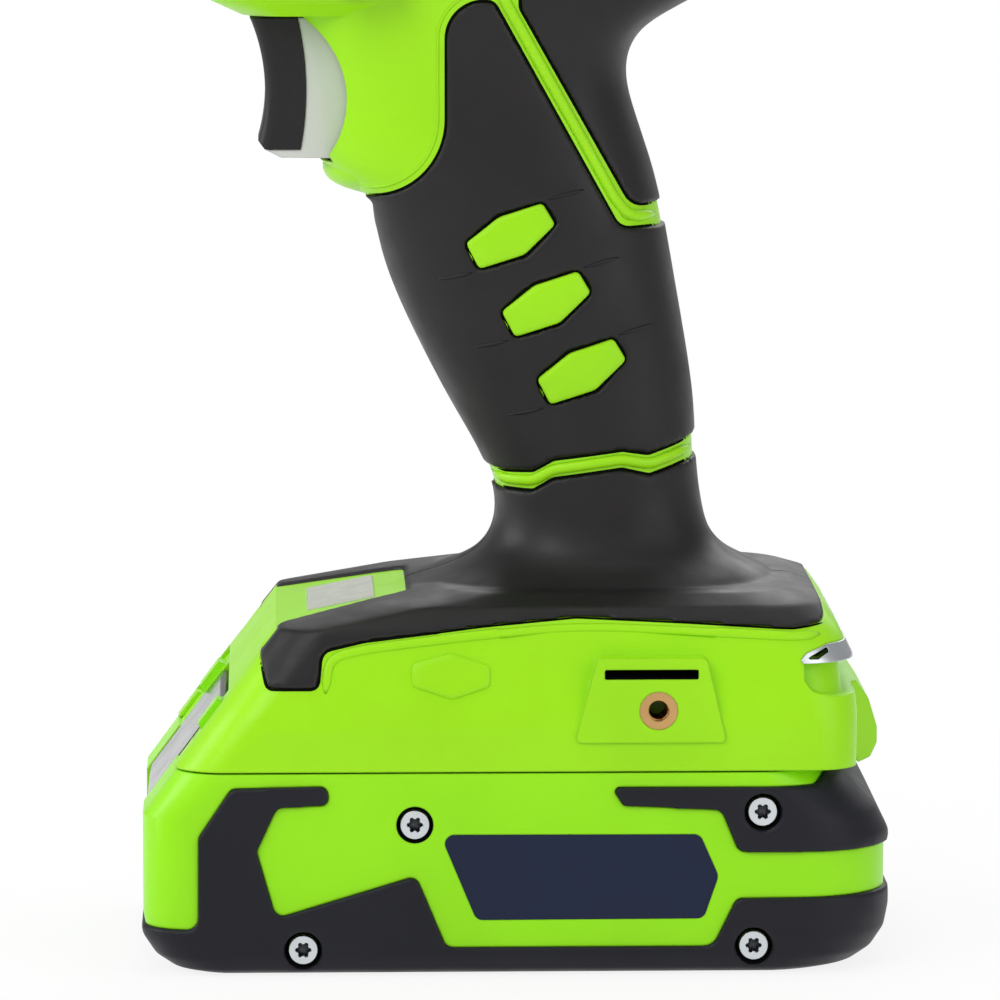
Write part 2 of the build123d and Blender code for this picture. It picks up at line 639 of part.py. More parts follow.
def clutch_ring():
    """Torque ring that turns on the nose."""
    ring = turned([
        (-57.6, 21.2), (-57.6, 24.4, 0.8), (-66.0, 24.8, 1), (-79.4, 23.0, 1),
        (-79.4, NOSE_RADIUS + RUNNING_GAP), (-71.5, NOSE_RADIUS + RUNNING_GAP), (-71.5, 21.2),
    ])
    return scalloped(ring, 24, 1.1, 24.9, -81, -68.5)


def clutch_spring():
    """Torque spring round the nose."""
    points = []
    for step in range(SPRING_TURNS * SPRING_STEPS + 1):
        angle = 2 * math.pi * step / SPRING_STEPS
        x = SPRING_START + SPRING_PITCH * step / SPRING_STEPS
        points.append((x, SPRING_RADIUS * math.sin(angle), AXIS_HEIGHT + SPRING_RADIUS * math.cos(angle)))
    wire = Polyline(*points)
    profile = Plane(origin=wire @ 0, z_dir=wire % 0) * Circle(SPRING_WIRE)
    return sweep(profile, path=wire, transition=Transition.RIGHT)


def jaw_line():
    """Plane at the tip of the top jaw, its normal running back along the jaw."""
    back = (math.cos(JAW_SLOPE), 0, math.sin(JAW_SLOPE))
    return Plane(origin=(JAW_TIP_X, 0, AXIS_HEIGHT + JAW_TIP_CENTRE), x_dir=(0, 1, 0), z_dir=back)


def about_head(shape, index):
    """Copy turned by a third of a turn about the head axis, index times."""
    return shape.rotate(Axis((0, 0, AXIS_HEIGHT), (1, 0, 0)), 120 * index)


def jaw(index):
    """Chuck jaw with a 120-degree gripping edge parallel to the head axis."""
    grip_radius = CHUCK_BORE + 0.15
    rise = 14 * math.tan(math.radians(30))
    bar = jaw_line().offset(-3) * Cylinder(
        JAW_RADIUS, JAW_LENGTH + 3, align=(Align.CENTER, Align.CENTER, Align.MIN))
    plane = Plane(origin=(-160, 0, AXIS_HEIGHT), x_dir=(0, 1, 0), z_dir=(1, 0, 0))
    wedge = make_face(Polyline((0, grip_radius), (14, grip_radius + rise), (14, -14), (-14, -14),
                               (-14, grip_radius + rise), close=True))
    shape = bar - extrude(plane * wedge, amount=80, dir=(1, 0, 0)) - block(-160, -131.4, -20, 20, 150, 230)
    return about_head(shape, index)


def chuck_body():
    """Steel chuck body with three sloping jaw bores."""
    shape = turned([
        (-134.0, 0), (-134.0, 11.0, 0.6), (-131.0, 13.2, 0.5), (-130.2, 15.0), (-95.0, 15.0), (-95.0, 14.0),
        (-87.0, 14.0), (-87.0, 20.6, 0.8), (-81.6, 20.0, 0.8), (-81.6, 0),
    ])
    bore = jaw_line().offset(-30) * Cylinder(
        JAW_RADIUS + 0.05, JAW_LENGTH + 44, align=(Align.CENTER, Align.CENTER, Align.MIN))
    bore = bore & block(-160, -98, -20, 20, 150, 230)
    cuts = [about_head(bore, index) for index in range(3)]
    cuts.append(rod_x(-140, CHUCK_FLOOR, CHUCK_BORE))
    cuts.append(rod_x(CHUCK_FLOOR - 1, LOCK_HEAD_SEAT, LOCK_HEAD_RADIUS + 0.2))
    cuts.append(rod_x(-101, -96, 2.5))
    cuts.append(rod_x(-97.0, -80, 6.35))
    return shape - cuts


def chuck_sleeve():
    """Hand sleeve of the chuck."""
    sleeve = turned([
        (-87.6, 14.0 + RUNNING_GAP), (-87.6, 21.6, 1), (-92.0, 22.0, 1), (-112, 22.0, 2), (-127.4, 18.4, 2),
        (-129.6, 15.8, 0.3), (-129.6, 15.0 + RUNNING_GAP), (NUT_FRONT, 15.0 + RUNNING_GAP), (NUT_FRONT, 19.4),
        (-93.0, 19.4), (-93.0, 14.0 + RUNNING_GAP),
    ])
    return scalloped(sleeve, 18, 1.6, 22.9, -113, -93.5)


def jaw_nut():
    """Nut that drives the jaws, pressed in the sleeve."""
    reach = JAW_RADIUS / math.cos(JAW_SLOPE) + 0.4
    rear = JAW_TIP_CENTRE + (NUT_REAR - JAW_TIP_X) * math.tan(JAW_SLOPE) + reach
    front = JAW_TIP_CENTRE + (NUT_FRONT - JAW_TIP_X) * math.tan(JAW_SLOPE) + reach
    return turned([(NUT_FRONT, front), (NUT_FRONT, 19.4), (NUT_REAR, 19.4), (NUT_REAR, rear)])


def chuck_screw():
    """Left-hand screw that locks the chuck on the spindle."""
    head = rod_x(LOCK_HEAD_FRONT, LOCK_HEAD_SEAT, LOCK_HEAD_RADIUS)
    return head + rod_x(LOCK_HEAD_SEAT, -84.5, 2.4) - rod_x(LOCK_HEAD_FRONT - 0.6, LOCK_HEAD_FRONT + 1.0, 1.6)


def motor_can():
    """Motor can with its front wall."""
    return turned([
        (-9.5, 4.0), (-9.5, MOTOR_RADIUS), (42.0, MOTOR_RADIUS), (42.0, 16.6), (-7.5, 16.6), (-7.5, 4.0),
    ])


def motor_bushes():
    """Front and rear plain bearings of the motor."""
    hole = 1.6 + RUNNING_GAP
    front = turned([(-9.5, hole), (-9.5, 4.0), (-6.4, 4.0), (-6.4, hole)])
    rear = turned([(42.6, hole), (42.6, 4.0), (46.4, 4.0), (46.4, hole)])
    return front + rear


def motor_end_bell():
    """Rear cover of the motor with two brush boxes."""
    bell = turned([
        (42.0, 7.5), (42.0, MOTOR_RADIUS), (46.4, MOTOR_RADIUS - 1), (46.4, 4.0), (42.6, 4.0), (42.6, 7.5),
    ])
    boxes = [block(35.5, 42.4, -3, 3, AXIS_HEIGHT + low, AXIS_HEIGHT + low + 7) for low in (6.0, -13.0)]
    return bell + boxes


def motor_magnets():
    """Two field magnets bonded in the can."""
    ring = turned([(0.0, 13.6), (0.0, 16.6), (31.0, 16.6), (31.0, 13.6)])
    return ring - block(-10, 50, -30, 30, AXIS_HEIGHT - 3, AXIS_HEIGHT + 3)


def armature():
    """Motor shaft with core, windings and commutator."""
    core = rod_x(3.0, 27.0, 13.0)
    slots = []
    for index in range(8):
        angle = 2 * math.pi * index / 8
        slots.append(rod_x(2, 28, 1.1, 12.6 * math.cos(angle), AXIS_HEIGHT + 12.6 * math.sin(angle)))
    pieces = [rod_x(-20.0, 46.0, 1.6), rod_x(0.4, 3.2, 10.5), rod_x(26.8, 30.4, 10.5), rod_x(33.0, 40.5, 5.0)]
    return core - slots + pieces


def pinion():
    """First-stage sun pressed on the motor shaft."""
    return outer_gear(SUN_TEETH, -20.0, -12.4, SUN_TURN) - rod_x(-21, -12, 1.6)


def cooling_fan():
    """Fan on the motor shaft, in front of the windings."""
    fan = rod_x(-1.6, -0.4, 12.0) + rod_x(-5.0, -0.4, 3.2)
    blades = []
    for index in range(8):
        blade = block(-5.0, -1.0, -0.5, 0.5, AXIS_HEIGHT + 3.0, AXIS_HEIGHT + 12.0)
        blades.append(blade.rotate(Axis((0, 0, AXIS_HEIGHT), (1, 0, 0)), 45 * index))
    return fan + blades - rod_x(-6, 0, 1.6)


def motor_plate():
    """Plate between the motor and the gear case."""
    return turned([(-12.0, 5.6), (-12.0, GEAR_CASE_RADIUS), (-9.5, GEAR_CASE_RADIUS), (-9.5, 5.6)])


def rear_cap():
    """Vented rear cap with a plug that enters the barrel."""
    cap = turned([
        (53.0, BARREL_BORE), (53.0, 26.5, 0), (56.0, 25.4, 2), (59.0, 20.0, 3), (59.6, 0), (57.0, 0),
        (56.2, 18.5), (53.6, 22.0), (49.0, 22.4), (49.0, BARREL_BORE),
    ])
    slots = []
    for index in range(5):
        low = AXIS_HEIGHT - 11.2 + 5.0 * index
        width = math.sqrt(17.0 ** 2 - (low + 1.2 - AXIS_HEIGHT) ** 2)
        slots.append(block(50, 62, -width, width, low, low + 2.4))
    return cap - slots


def speed_selector():
    """Sliding two-speed button on top of the barrel."""
    button = block(-33.0, -22.0, -6.7, 6.7, 214.25, 217.2)
    ribs = [block(-31.6 + 2.4 * index, -30.4 + 2.4 * index, -6.7, 6.7, 217.0, 218.2) for index in range(4)]
    return button + ribs


def direction_selector():
    """Push bar for forward, lock and reverse."""
    points = [(-29.0, 157.0, 1.2), (-19.0, 157.0, 1.2), (-19.0, 162.0, 1.2), (-29.0, 162.0, 1.2)]
    return side_prism(points, 23.2, -23.2)


def pack_form(inset):
    """Form of the battery pack without its rail."""
    levels = []
    for step in range(5):
        angle = math.pi / 2 * step / 4
        end = PACK_END_ROUND - (PACK_END_ROUND - inset) * math.sin(angle)
        rise = PACK_END_ROUND - (PACK_END_ROUND - inset) * math.cos(angle)
        side = inset + PACK_SIDE_ROUND * (1 - math.sin(min(math.pi / 2, angle * 1.6)))
        levels.append((PACK_BASE + rise, PACK_FRONT + end, PACK_REAR - end, side))
    levels.append((21.4, PACK_FRONT + inset, PACK_REAR - inset, inset))
    levels.append((25.4, PACK_FRONT + inset, 58.4 - inset, inset))
    levels.append((PACK_SEAM, -54.5 + inset, 51.6 - inset, inset))
    sections = []
    for z, front, rear, side in levels:
        corners = (PACK_CORNERS[0] - side, PACK_CORNERS[1] - side)
        sections.append(level_outline(z, front, rear, PACK_HALF_WIDTH - side, corners))
    return loft(sections, ruled=True)


def cell_line(steps):
    """Place along x a number of cell pitches from the middle of the row."""
    return CELL_SHIFT + CELL_PITCH * steps


def cell_places():
    """Places of the six cells along x."""
    return [cell_line(index - 2.5) for index in range(6)]


def rail_left():
    """Left half of the rail that slides in the foot."""
    front_gap = 0.8
    low = 32.0
    step = BAY_LIP_TOP + RAIL_GAP
    top = BAY_CEILING - RAIL_GAP
    rear = BAY_REAR - 2.4

    def front_x(z):
        return INCLINE_POINT[0] + (z - INCLINE_POINT[1]) * 0.75 + front_gap

    neck = side_prism([(front_x(low), low), (rear, low), (rear, top), (front_x(top), top)],
                      0, -(BAY_NECK - RAIL_GAP))
    flange = side_prism([(front_x(step), step), (rear, step), (rear, top), (front_x(top), top)],
                        0, -(BAY_FLANGE - RAIL_GAP))
    return neck + flange


def button_room():
    """Side view of the space the release button needs over its travel."""
    kink = on_incline(BUTTON_LOW, BUTTON_FACE)
    back = kink[0] + BUTTON_LIP_DEPTH + BUTTON_TRAVEL * 0.8 + BUTTON_GAP
    low = BUTTON_LIP_LOW - BUTTON_TRAVEL * 0.6 - BUTTON_GAP
    deep = BUTTON_BACK - BUTTON_TRAVEL - 0.7
    return [
        on_incline(24.0, 6.0), on_incline(24.0, deep), on_incline(BUTTON_LOW + 3.2, deep), (back, low + 1.9),
        (back, low), (-66.0, low), (-66.0, 27.0),
    ]


def pack_halves():
    """Left and right case halves and bumpers of the pack."""
    outer = pack_form(-BUMPER_PROUD)
    inner = pack_form(BUMPER_DEPTH)
    lower = (outer & side_prism(LOWER_BUMPER_OUTLINE, 0, -45)) - inner
    rear = (outer & side_prism(REAR_BUMPER_OUTLINE, 0, -45)) - inner
    label = side_prism(LABEL_OUTLINE, -(PACK_HALF_WIDTH - 0.4), -PACK_HALF_WIDTH - 0.05)
    cavity = pack_form(PACK_WALL) & block(-80, 80, -60, 60, 0, 30)
    case = (pack_form(0) & block(-80, 80, -60, 0, -10, 60)) + rail_left()
    case = case - cavity - lower - rear - label
    backing = incline_block(-8.0, 12.0, -9.4, 0.0, 18.5) + incline_block(0.0, 12.0, -14.6, -9.0, 5.0)
    backing = backing + block(-59.5, -53.6, -18.5, 0, 19.2, 27.5)
    backing = backing & pack_form(1.5) & block(-80, 80, -60, 0, -10, 60)
    posts = [rod_y(x, z, 2.4 if z < 10 else 3.6, -36, 0) & pack_form(1.6) for x, z in PACK_SCREWS]
    case = case + backing + posts + incline_rib(5.8, 12.8)
    button_pocket = side_prism(button_room(), BUTTON_HALF_WIDTH + BUTTON_GAP, -BUTTON_HALF_WIDTH - BUTTON_GAP)
    spring_seat = Plane(origin=(on_incline(5.0, -7.0)[0], 0, on_incline(5.0, -7.0)[1]),
                        z_dir=(0.8, 0, -0.6)) * Cylinder(
        3.2, 6.0, align=(Align.CENTER, Align.CENTER, Align.MIN))
    half = block(-80, 80, -60, 0, -10, 60)
    tab_floor = TAB_LOW - BUTTON_TRAVEL * 0.6 - BUTTON_GAP
    tab_end = TAB_END + BUTTON_TRAVEL * 0.8 + BUTTON_GAP
    cuts = [button_pocket & half, spring_seat & half]
    cuts.append(block(-50, tab_end, -TAB_HALF_WIDTH - BUTTON_GAP, 1, tab_floor, 50))
    cuts += [rod_y(x, CELL_HEIGHT, CELL_RADIUS + 0.3, -33.0, 1) for x in cell_places()]
    cuts += [block(10, 60, y - 1.3, y + 1.3, 35.5, 50) for y in BLADE_PLACES if y < 0]
    case = case - cuts
    sinks = [rod_y(x, z, 3.0, -45, PACK_SCREW_SEAT) for x, z in PACK_SCREWS]
    left = case - [rod_y(x, z, 1.5, -36, 1) for x, z in PACK_SCREWS] - sinks
    right = mirrored(case) - [rod_y(x, z, 1.3, -1, 8.0) for x, z in PACK_SCREWS]
    lower_left = lower - sinks
    return left, right, lower_left, rear - sinks, mirrored(lower), mirrored(rear), label


def pack_inside():
    """Cells, holder, bus bars, board and spring clips."""
    cells = [rod_y(x, CELL_HEIGHT, CELL_RADIUS, -CELL_LENGTH / 2, CELL_LENGTH / 2) for x in cell_places()]
    plates = [block(*PLATE_ENDS, y - 1.5, y + 1.5, 6.6, 23.6) for y in (-22, 22)]
    holder = plates[0] + plates[1]
    rail_ends = (PACK_SCREWS[1][0], cell_line(2))
    holder = holder + [block(*rail_ends, y - 1.5, y + 1.5, 3.4, 8.0) for y in (-22, 22)]
    for x in (cell_line(-2), cell_line(0), cell_line(1)):
        holder = holder + block(x - 1.6, x + 1.6, -22, 22, 20.6, 24.0)
    holder = holder - cells - [rod_y(x, z, 3.9, -40, 40) for x, z in PACK_SCREWS]
    bars = []
    for x in (cell_line(-2), cell_line(0), cell_line(2)):
        bars.append(block(x - 14, x + 14, -32.9, -32.5, 9.0, 18.0))
    for x in (cell_line(-1), cell_line(1)):
        bars.append(block(x - 14, x + 14, 32.5, 32.9, 9.0, 18.0))
    board = block(-11.5, 36.0, -20, 20, 24.0, 25.6)
    clips = []
    for y in BLADE_PLACES:
        base = block(11.0, 30.0, y - 1.2, y + 1.2, 35.5, 36.0)
        leaves = [block(11.0, 30.0, y + low, y + low + 0.45, 35.8, 42.6) for low in (-1.2, 0.75)]
        clips.append(base + leaves)
    return Compound(cells), holder, Compound(bars), board, Compound(clips)


def release_button():
    """Battery release button, flush with the slope, with its lower lip and latch tooth."""
    kink = on_incline(BUTTON_LOW, BUTTON_FACE)
    lip_back = kink[0] + BUTTON_LIP_DEPTH
    points = [
        on_incline(BUTTON_HIGH, BUTTON_FACE) + (1.0,), kink + (2.0,), (kink[0], BUTTON_LIP_LOW, 0.8),
        (lip_back, BUTTON_LIP_LOW, 0.4), (lip_back, BUTTON_LIP_LOW + 2.2, 0.4),
        on_incline(BUTTON_LOW + 3.9, BUTTON_BACK) + (0.4,), on_incline(BUTTON_HIGH, BUTTON_BACK) + (0.4,),
    ]
    panel = side_prism(points, BUTTON_HALF_WIDTH, -BUTTON_HALF_WIDTH)
    tab = block(-46.5, TAB_END, -TAB_HALF_WIDTH, TAB_HALF_WIDTH, TAB_LOW, TAB_HIGH)
    tooth = block(TAB_END - 3.0, TAB_END, -TAB_HALF_WIDTH, TAB_HALF_WIDTH, TAB_HIGH - 0.2, TOOTH_TOP)
    return panel + tab + tooth


def latch_spring():
    """Spring behind the release button, fully pressed."""
    point = on_incline(5.0, -7.5)
    plane = Plane(origin=(point[0], 0, point[1]), z_dir=(0.8, 0, -0.6))
    shape = plane * Cylinder(2.9, 5.4, align=(Align.CENTER, Align.CENTER, Align.MIN))
    return shape - plane.offset(-1) * Cylinder(2.1, 8, align=(Align.CENTER, Align.CENTER, Align.MIN))


def terminal_parts():
    """Terminal block of the tool and its four blades."""
    blades = [block(13.0, 27.0, y - 0.4, y + 0.4, 36.8, 51.5) for y in BLADE_PLACES]
    carrier_block = block(10, 32, -14, 14, BAY_CEILING, 47.2) + block(8, 34, -17, 17, 47.0, 50.0)
    return carrier_block - blades, Compound(blades)


def belt_inserts():
    """Brass threaded inserts for a belt clip, one on each side."""
    insert = rod_y(BELT_INSERT[0], BELT_INSERT[1], 3.1, -37.1, -29.0)
    insert = insert - rod_y(BELT_INSERT[0], BELT_INSERT[1], 1.7, -38, -28)
    return Compound([insert, mirrored(insert)])


def switch_module():
    """Trigger switch with the bore for the trigger stem."""
    return block(*SWITCH_LIMITS) - rod_x(-20, 3.5, 3.4, 0, TRIGGER_AXIS_HEIGHT)


os.makedirs("parts", exist_ok=True)
grip, spine, cover = rubber_pads()
housing_left, housing_right = housing_halves(grip, spine, cover)
trigger, trigger_pad = trigger_parts()
case_left, case_right, lower_left, rear_left, lower_right, rear_right, label = pack_halves()
cells, cell_holder, bus_bars, battery_board, battery_clips = pack_inside()
terminal_block, terminal_blades = terminal_parts()
bar_left = lanyard_bar_left()
housing_screws = [
    socket_screw(x, z, seat, -11.0, SCREW_HEAD_RADIUS, SCREW_RADIUS, 2.0, 1)
    for x, z, seat, place in HOUSING_SCREWS
]
pack_screws = [socket_screw(x, z, PACK_SCREW_SEAT, 8.0, 2.3, 1.3, 1.6, -1) for x, z in PACK_SCREWS]

nodes = {
    "housing_left": housing_left,
    "housing_right": housing_right,
    "grip_left": grip,
    "grip_right": mirrored(grip),
    "back_pads": Compound([spine, mirrored(spine)]),
    "foot_cover_left": cover,
    "foot_cover_right": mirrored(cover),
    "rear_cap": rear_cap(),
    "gear_case": gear_case(),
    "ring_gear": ring_gear(),
    "motor_plate": motor_plate(),
    "motor_can": motor_can(),
    "motor_magnets": motor_magnets(),
    "motor_end_bell": motor_end_bell(),
    "motor_bushes": motor_bushes(),
    "spindle_bearing": spindle_bearing(),
    "clutch_spring": clutch_spring(),
    "switch_module": switch_module(),
    "lamp_lens": side_prism(LAMP_OUTLINE, LAMP_HALF_WIDTH, -LAMP_HALF_WIDTH),
    "lamp_board": side_prism(LAMP_BOARD_OUTLINE, LAMP_HALF_WIDTH + LAMP_BOARD_MARGIN,
                             -LAMP_HALF_WIDTH - LAMP_BOARD_MARGIN),
    "terminal_block": terminal_block,
    "terminal_blades": terminal_blades,
    "housing_screws": Compound(housing_screws),
    "belt_inserts": belt_inserts(),
    "lanyard_bar": bar_left + mirrored(bar_left),
    "trigger": trigger,
    "trigger_pad": trigger_pad,
    "direction_selector": direction_selector(),
    "speed_selector": speed_selector(),
    "clutch_ring": clutch_ring(),
    "spindle": spindle(),
    "chuck_body": chuck_body(),
    "chuck_screw": chuck_screw(),
    "chuck_sleeve": chuck_sleeve(),
    "jaw_nut": jaw_nut(),
    "carrier": carrier(),
    "armature": Compound([armature(), pinion()]),
    "cooling_fan": cooling_fan(),
    "battery_case_left": case_left,
    "battery_case_right": case_right,
    "battery_bumpers": Compound([lower_left, lower_right]),
    "battery_rear_bumpers": Compound([rear_left, rear_right]),
    "battery_labels": Compound([label, mirrored(label)]),
    "battery_screws": Compound(pack_screws),
    "battery_cells": cells,
    "cell_holder": cell_holder,
    "bus_bars": bus_bars,
    "battery_board": battery_board,
    "battery_clips": battery_clips,
    "release_button": release_button(),
    "latch_spring": latch_spring(),
}
for number in range(3):
    nodes[f"jaw_{number + 1}"] = jaw(number)
    nodes[f"planet_rear_{number + 1}"] = planet(number, -20.3, -12.9)
    nodes[f"planet_front_{number + 1}"] = planet(number, -33.4, -24.2)

for name, shape in nodes.items():
    export_step(shape, f"parts/{name}.step")
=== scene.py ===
"""Looks of the cordless drill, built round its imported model."""
import json
import math

import bmesh
import bpy
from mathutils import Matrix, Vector
from mathutils.bvhtree import BVHTree


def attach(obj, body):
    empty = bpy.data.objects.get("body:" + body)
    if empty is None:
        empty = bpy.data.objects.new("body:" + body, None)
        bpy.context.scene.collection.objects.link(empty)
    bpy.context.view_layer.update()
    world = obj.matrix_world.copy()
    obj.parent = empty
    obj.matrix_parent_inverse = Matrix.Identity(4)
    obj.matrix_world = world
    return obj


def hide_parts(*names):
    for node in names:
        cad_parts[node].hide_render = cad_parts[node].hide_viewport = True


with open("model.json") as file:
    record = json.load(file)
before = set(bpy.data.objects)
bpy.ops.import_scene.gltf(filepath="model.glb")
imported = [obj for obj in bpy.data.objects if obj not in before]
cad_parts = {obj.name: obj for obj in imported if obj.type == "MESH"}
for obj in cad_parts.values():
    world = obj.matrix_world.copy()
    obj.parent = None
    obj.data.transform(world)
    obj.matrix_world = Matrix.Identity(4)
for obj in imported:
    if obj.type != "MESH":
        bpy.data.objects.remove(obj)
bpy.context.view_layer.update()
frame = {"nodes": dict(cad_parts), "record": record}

MM = 0.001
nodes = frame["nodes"]

# Camera of the photograph, in metres and millimetres of lens
CAMERA_PLACE = (-0.039595, -1.289742, 0.230896)
CAMERA_TARGET = (-0.001317, 0.0, 0.072465)
CAMERA_LENS = 284.2
CAMERA_SENSOR = 36.0
CAMERA_FAR = 20.0

# Surface colours, linear
GREEN = (0.345, 0.79, 0.006)
PACK_GREEN = (0.315, 0.82, 0.005)
BLACK_RUBBER = (0.0095, 0.0078, 0.0094)
BUMPER_RUBBER = (0.0055, 0.0057, 0.0115)
BLACK_PLASTIC = (0.022, 0.022, 0.023)
GREY_PLASTIC = (0.62, 0.63, 0.60)
NAVY = (0.0065, 0.0125, 0.042)

# Moulded surfaces: colour, roughness from and to, grains per metre, grain height, colour drift, edge, shine
MOULDED_SURFACES = {
    "green_plastic": (GREEN, 0.30, 0.40, 2600.0, 0.000010, 0.03, 0.0005, 0.28),
    "pack_green": (PACK_GREEN, 0.28, 0.38, 2600.0, 0.000010, 0.03, 0.0005, 0.28),
    "black_rubber": (BLACK_RUBBER, 0.40, 0.54, 3200.0, 0.000022, 0.14, 0.0004, 0.36),
    "bumper_rubber": (BUMPER_RUBBER, 0.42, 0.54, 3200.0, 0.000018, 0.12, 0.0004, 0.30),
    "black_plastic": (BLACK_PLASTIC, 0.40, 0.52, 2600.0, 0.000014, 0.10, 0.0004, 0.50),
    "grey_plastic": (GREY_PLASTIC, 0.34, 0.46, 2600.0, 0.000008, 0.03, 0.0004, 0.50),
    "button_plastic": ((0.03, 0.034, 0.042), 0.10, 0.18, 900.0, 0.000002, 0.08, 0.0005, 0.50),
    "label_panel": (NAVY, 0.30, 0.40, 1800.0, 0.000004, 0.08, 0.0002, 0.25),
    "board": ((0.01, 0.10, 0.035), 0.35, 0.50, 1200.0, 0.000010, 0.15, 0.0, 0.50),
    "magnet": ((0.05, 0.05, 0.055), 0.60, 0.75, 1500.0, 0.000020, 0.15, 0.0, 0.50),
    "cell_sleeve": ((0.03, 0.12, 0.28), 0.30, 0.42, 800.0, 0.000004, 0.06, 0.0, 0.50),
    "tick_white": ((0.70, 0.71, 0.70), 0.45, 0.55, 1800.0, 0.000004, 0.04, 0.0, 0.50),
    "gap_shadow": ((0.004, 0.005, 0.003), 0.80, 0.90, 3200.0, 0.000004, 0.10, 0.0, 0.05),
}

# Metal surfaces: colour, roughness from and to, grains per metre, grain height
METAL_SURFACES = {
    "steel": ((0.55, 0.55, 0.56), 0.22, 0.36, 900.0, 0.000004),
    "dark_steel": ((0.07, 0.07, 0.075), 0.30, 0.42, 900.0, 0.000004),
    "zinc_steel": ((0.66, 0.69, 0.72), 0.22, 0.36, 900.0, 0.000004),
    "gear_steel": ((0.34, 0.34, 0.34), 0.34, 0.50, 900.0, 0.000004),
    "can_steel": ((0.45, 0.45, 0.44), 0.26, 0.40, 900.0, 0.000004),
    "brass": ((0.62, 0.37, 0.15), 0.20, 0.32, 900.0, 0.000004),
    "bronze": ((0.50, 0.30, 0.12), 0.34, 0.50, 900.0, 0.000004),
    "copper": ((0.62, 0.36, 0.22), 0.24, 0.38, 900.0, 0.000004),
    "die_cast": ((0.42, 0.43, 0.44), 0.42, 0.56, 1500.0, 0.000010),
}
METAL_DRIFT = 0.05
METAL_EDGE = 0.0002
METAL_SHINE = 0.5

# Lamp window
LENS_COLOUR = (0.74, 0.76, 0.66, 1.0)
LENS_TRANSMISSION = 0.18
LENS_IOR = 1.49
LENS_ROUGHNESS = (0.16, 0.24)

# Noise behind the surfaces: features per metre and detail
DRIFT_NOISE = (45.0, 4.0)
GLOSS_NOISE = (160.0, 5.0)
FROST_NOISE = (300.0, 3.0)
GRAIN_DETAIL = 2.0
MIDDLE_SPAN = (0.35, 0.65)
WIDE_SPAN = (0.3, 0.7)
BEVEL_SAMPLES = 6

# Meshes, in metres
WELD_GAP = 0.000002
MERGE_GAP = 0.000001
SHARP_ANGLE = math.radians(28)
SIDE_RAY_START = 0.2
AXIS_RAY_START = 0.06

# Rounded corners of paths and outlines, in millimetres or shares of an arm
PATH_RADIUS = 1.0
PATH_STEP = 0.8
PATH_LEAST_GAP = 0.02
PATH_ARM_SHARE = 0.49
PATH_CORNER_STEPS = 6
LOOP_STEP = 0.6
LOOP_ARM_SHARE = 0.45
LOOP_CORNER_STEPS = 4
STRAIGHT_HALF_ANGLE = 1.55
FILLET_LEAST_STEPS = 3

# Ridges: arch as shares of width and height, depth of the foot, ends and the steepest wall that they climb
RIDGE_ARCH = [(-0.42, 0.55), (-0.22, 0.92), (0.0, 1.0), (0.22, 0.92), (0.42, 0.55)]
RIDGE_SUNK = 0.15
RIDGE_END_SHARE = 0.25
RIDGE_END_STEPS = 3
RIDGE_LEAST_FACING = 0.12

# Pads: depth of the foot, where the rim's round begins, and the share that the middle of the dome keeps
PAD_SUNK = 0.3
PAD_RIM_SHARE = 0.3
PAD_MIDDLE_SHARE = 0.2
PAD_DOME_LEVELS = [(0.6, 0.4), (0.3, 0.7), (0.0, 1.0)]

# Rubber pieces with rounded edges, in place of CAD nodes
RUBBER_NODES = [
    ("grip_left", "black_rubber", "tool"), ("grip_right", "black_rubber", "tool"),
    ("back_pads", "black_rubber", "tool"),
    ("foot_cover_left", "black_rubber", "tool"), ("foot_cover_right", "black_rubber", "tool"),
    ("battery_bumpers", "bumper_rubber", "pack"), ("battery_rear_bumpers", "bumper_rubber", "pack"),
]
RUBBER_VOXEL = 0.45
RUBBER_ROUNDS = 6
RUBBER_SMOOTHING = 0.5
RUBBER_FACES_KEPT = 0.45
SEAM_HALF = 0.25
SEAM_FADE = 0.8

# Green beads as side-view paths of x, z and any corner radius
STRIPE_PATH = [
    (-3.4, 160.0), (1.3, 151.5), (6.4, 142.3), (11.6, 133.0), (16.9, 123.2, 3.0), (19.4, 120.4, 2.0),
    (25.6, 120.4),
]
BAND_PATH = [
    (-4.2, 78.6), (-0.8, 77.2, 1.2), (3.9, 77.3, 1.2), (6.85, 79.25, 1.2), (18.0, 80.9, 1.2),
    (22.7, 80.0, 1.2), (30.4, 82.4),
]
COVER_EDGE_PATH = [
    (49.4, 54.4), (45, 54.3, 6), (27.6, 55.3, 8), (10, 56.0, 8), (-5.1, 54.8, 8), (-24.0, 52.6, 4),
    (-29.9, 51.2, 2.6), (-30.4, 45.6),
]
BEADS = [(STRIPE_PATH, 2.0, 0.75), (BAND_PATH, 1.9, 0.75), (COVER_EDGE_PATH, 1.7, 0.3)]

# Edges of the rubber, the near-black strip of painted shade along them for the gap, and the fine bead beside
# the grip's upper edge
RUBBER_EDGES = [
    [(-46, 123.6), (-10.4, 123.6, 13), (-10.4, 155.6, 6), (-3.0, 155.6, 1.8), (17.6, 118.5, 3), (46, 118.5)],
    [(46, 88.7), (22.4, 81.8, 1.5), (18.2, 82.5, 2), (6.9, 81.0, 2), (3.6, 79.0, 1.5), (-0.8, 78.7, 2),
     (-12, 80.2)],
    [(46, 122.3), (19.7, 122.3, 3.5), (1.5, 154.6, 2), (1.5, 169, 7), (47, 169)],
    [(-12, 76.5), (-0.8, 75.5, 2), (3.8, 75.5, 1.5), (7.0, 77.6, 2), (18.1, 79.2, 2), (22.6, 78.1, 1.5),
     (46, 85.0)],
    [(50.4, 56), (45, 55.6, 6), (27.6, 56.6, 8), (10, 57.4, 8), (-5.3, 56.1, 8), (-24.1, 53.9, 4),
     (-31.1, 52.3, 2.2), (-31.7, 46.4, 1.2), (-39.7, 46.4, 1), (-40.9, 51.4)],
]
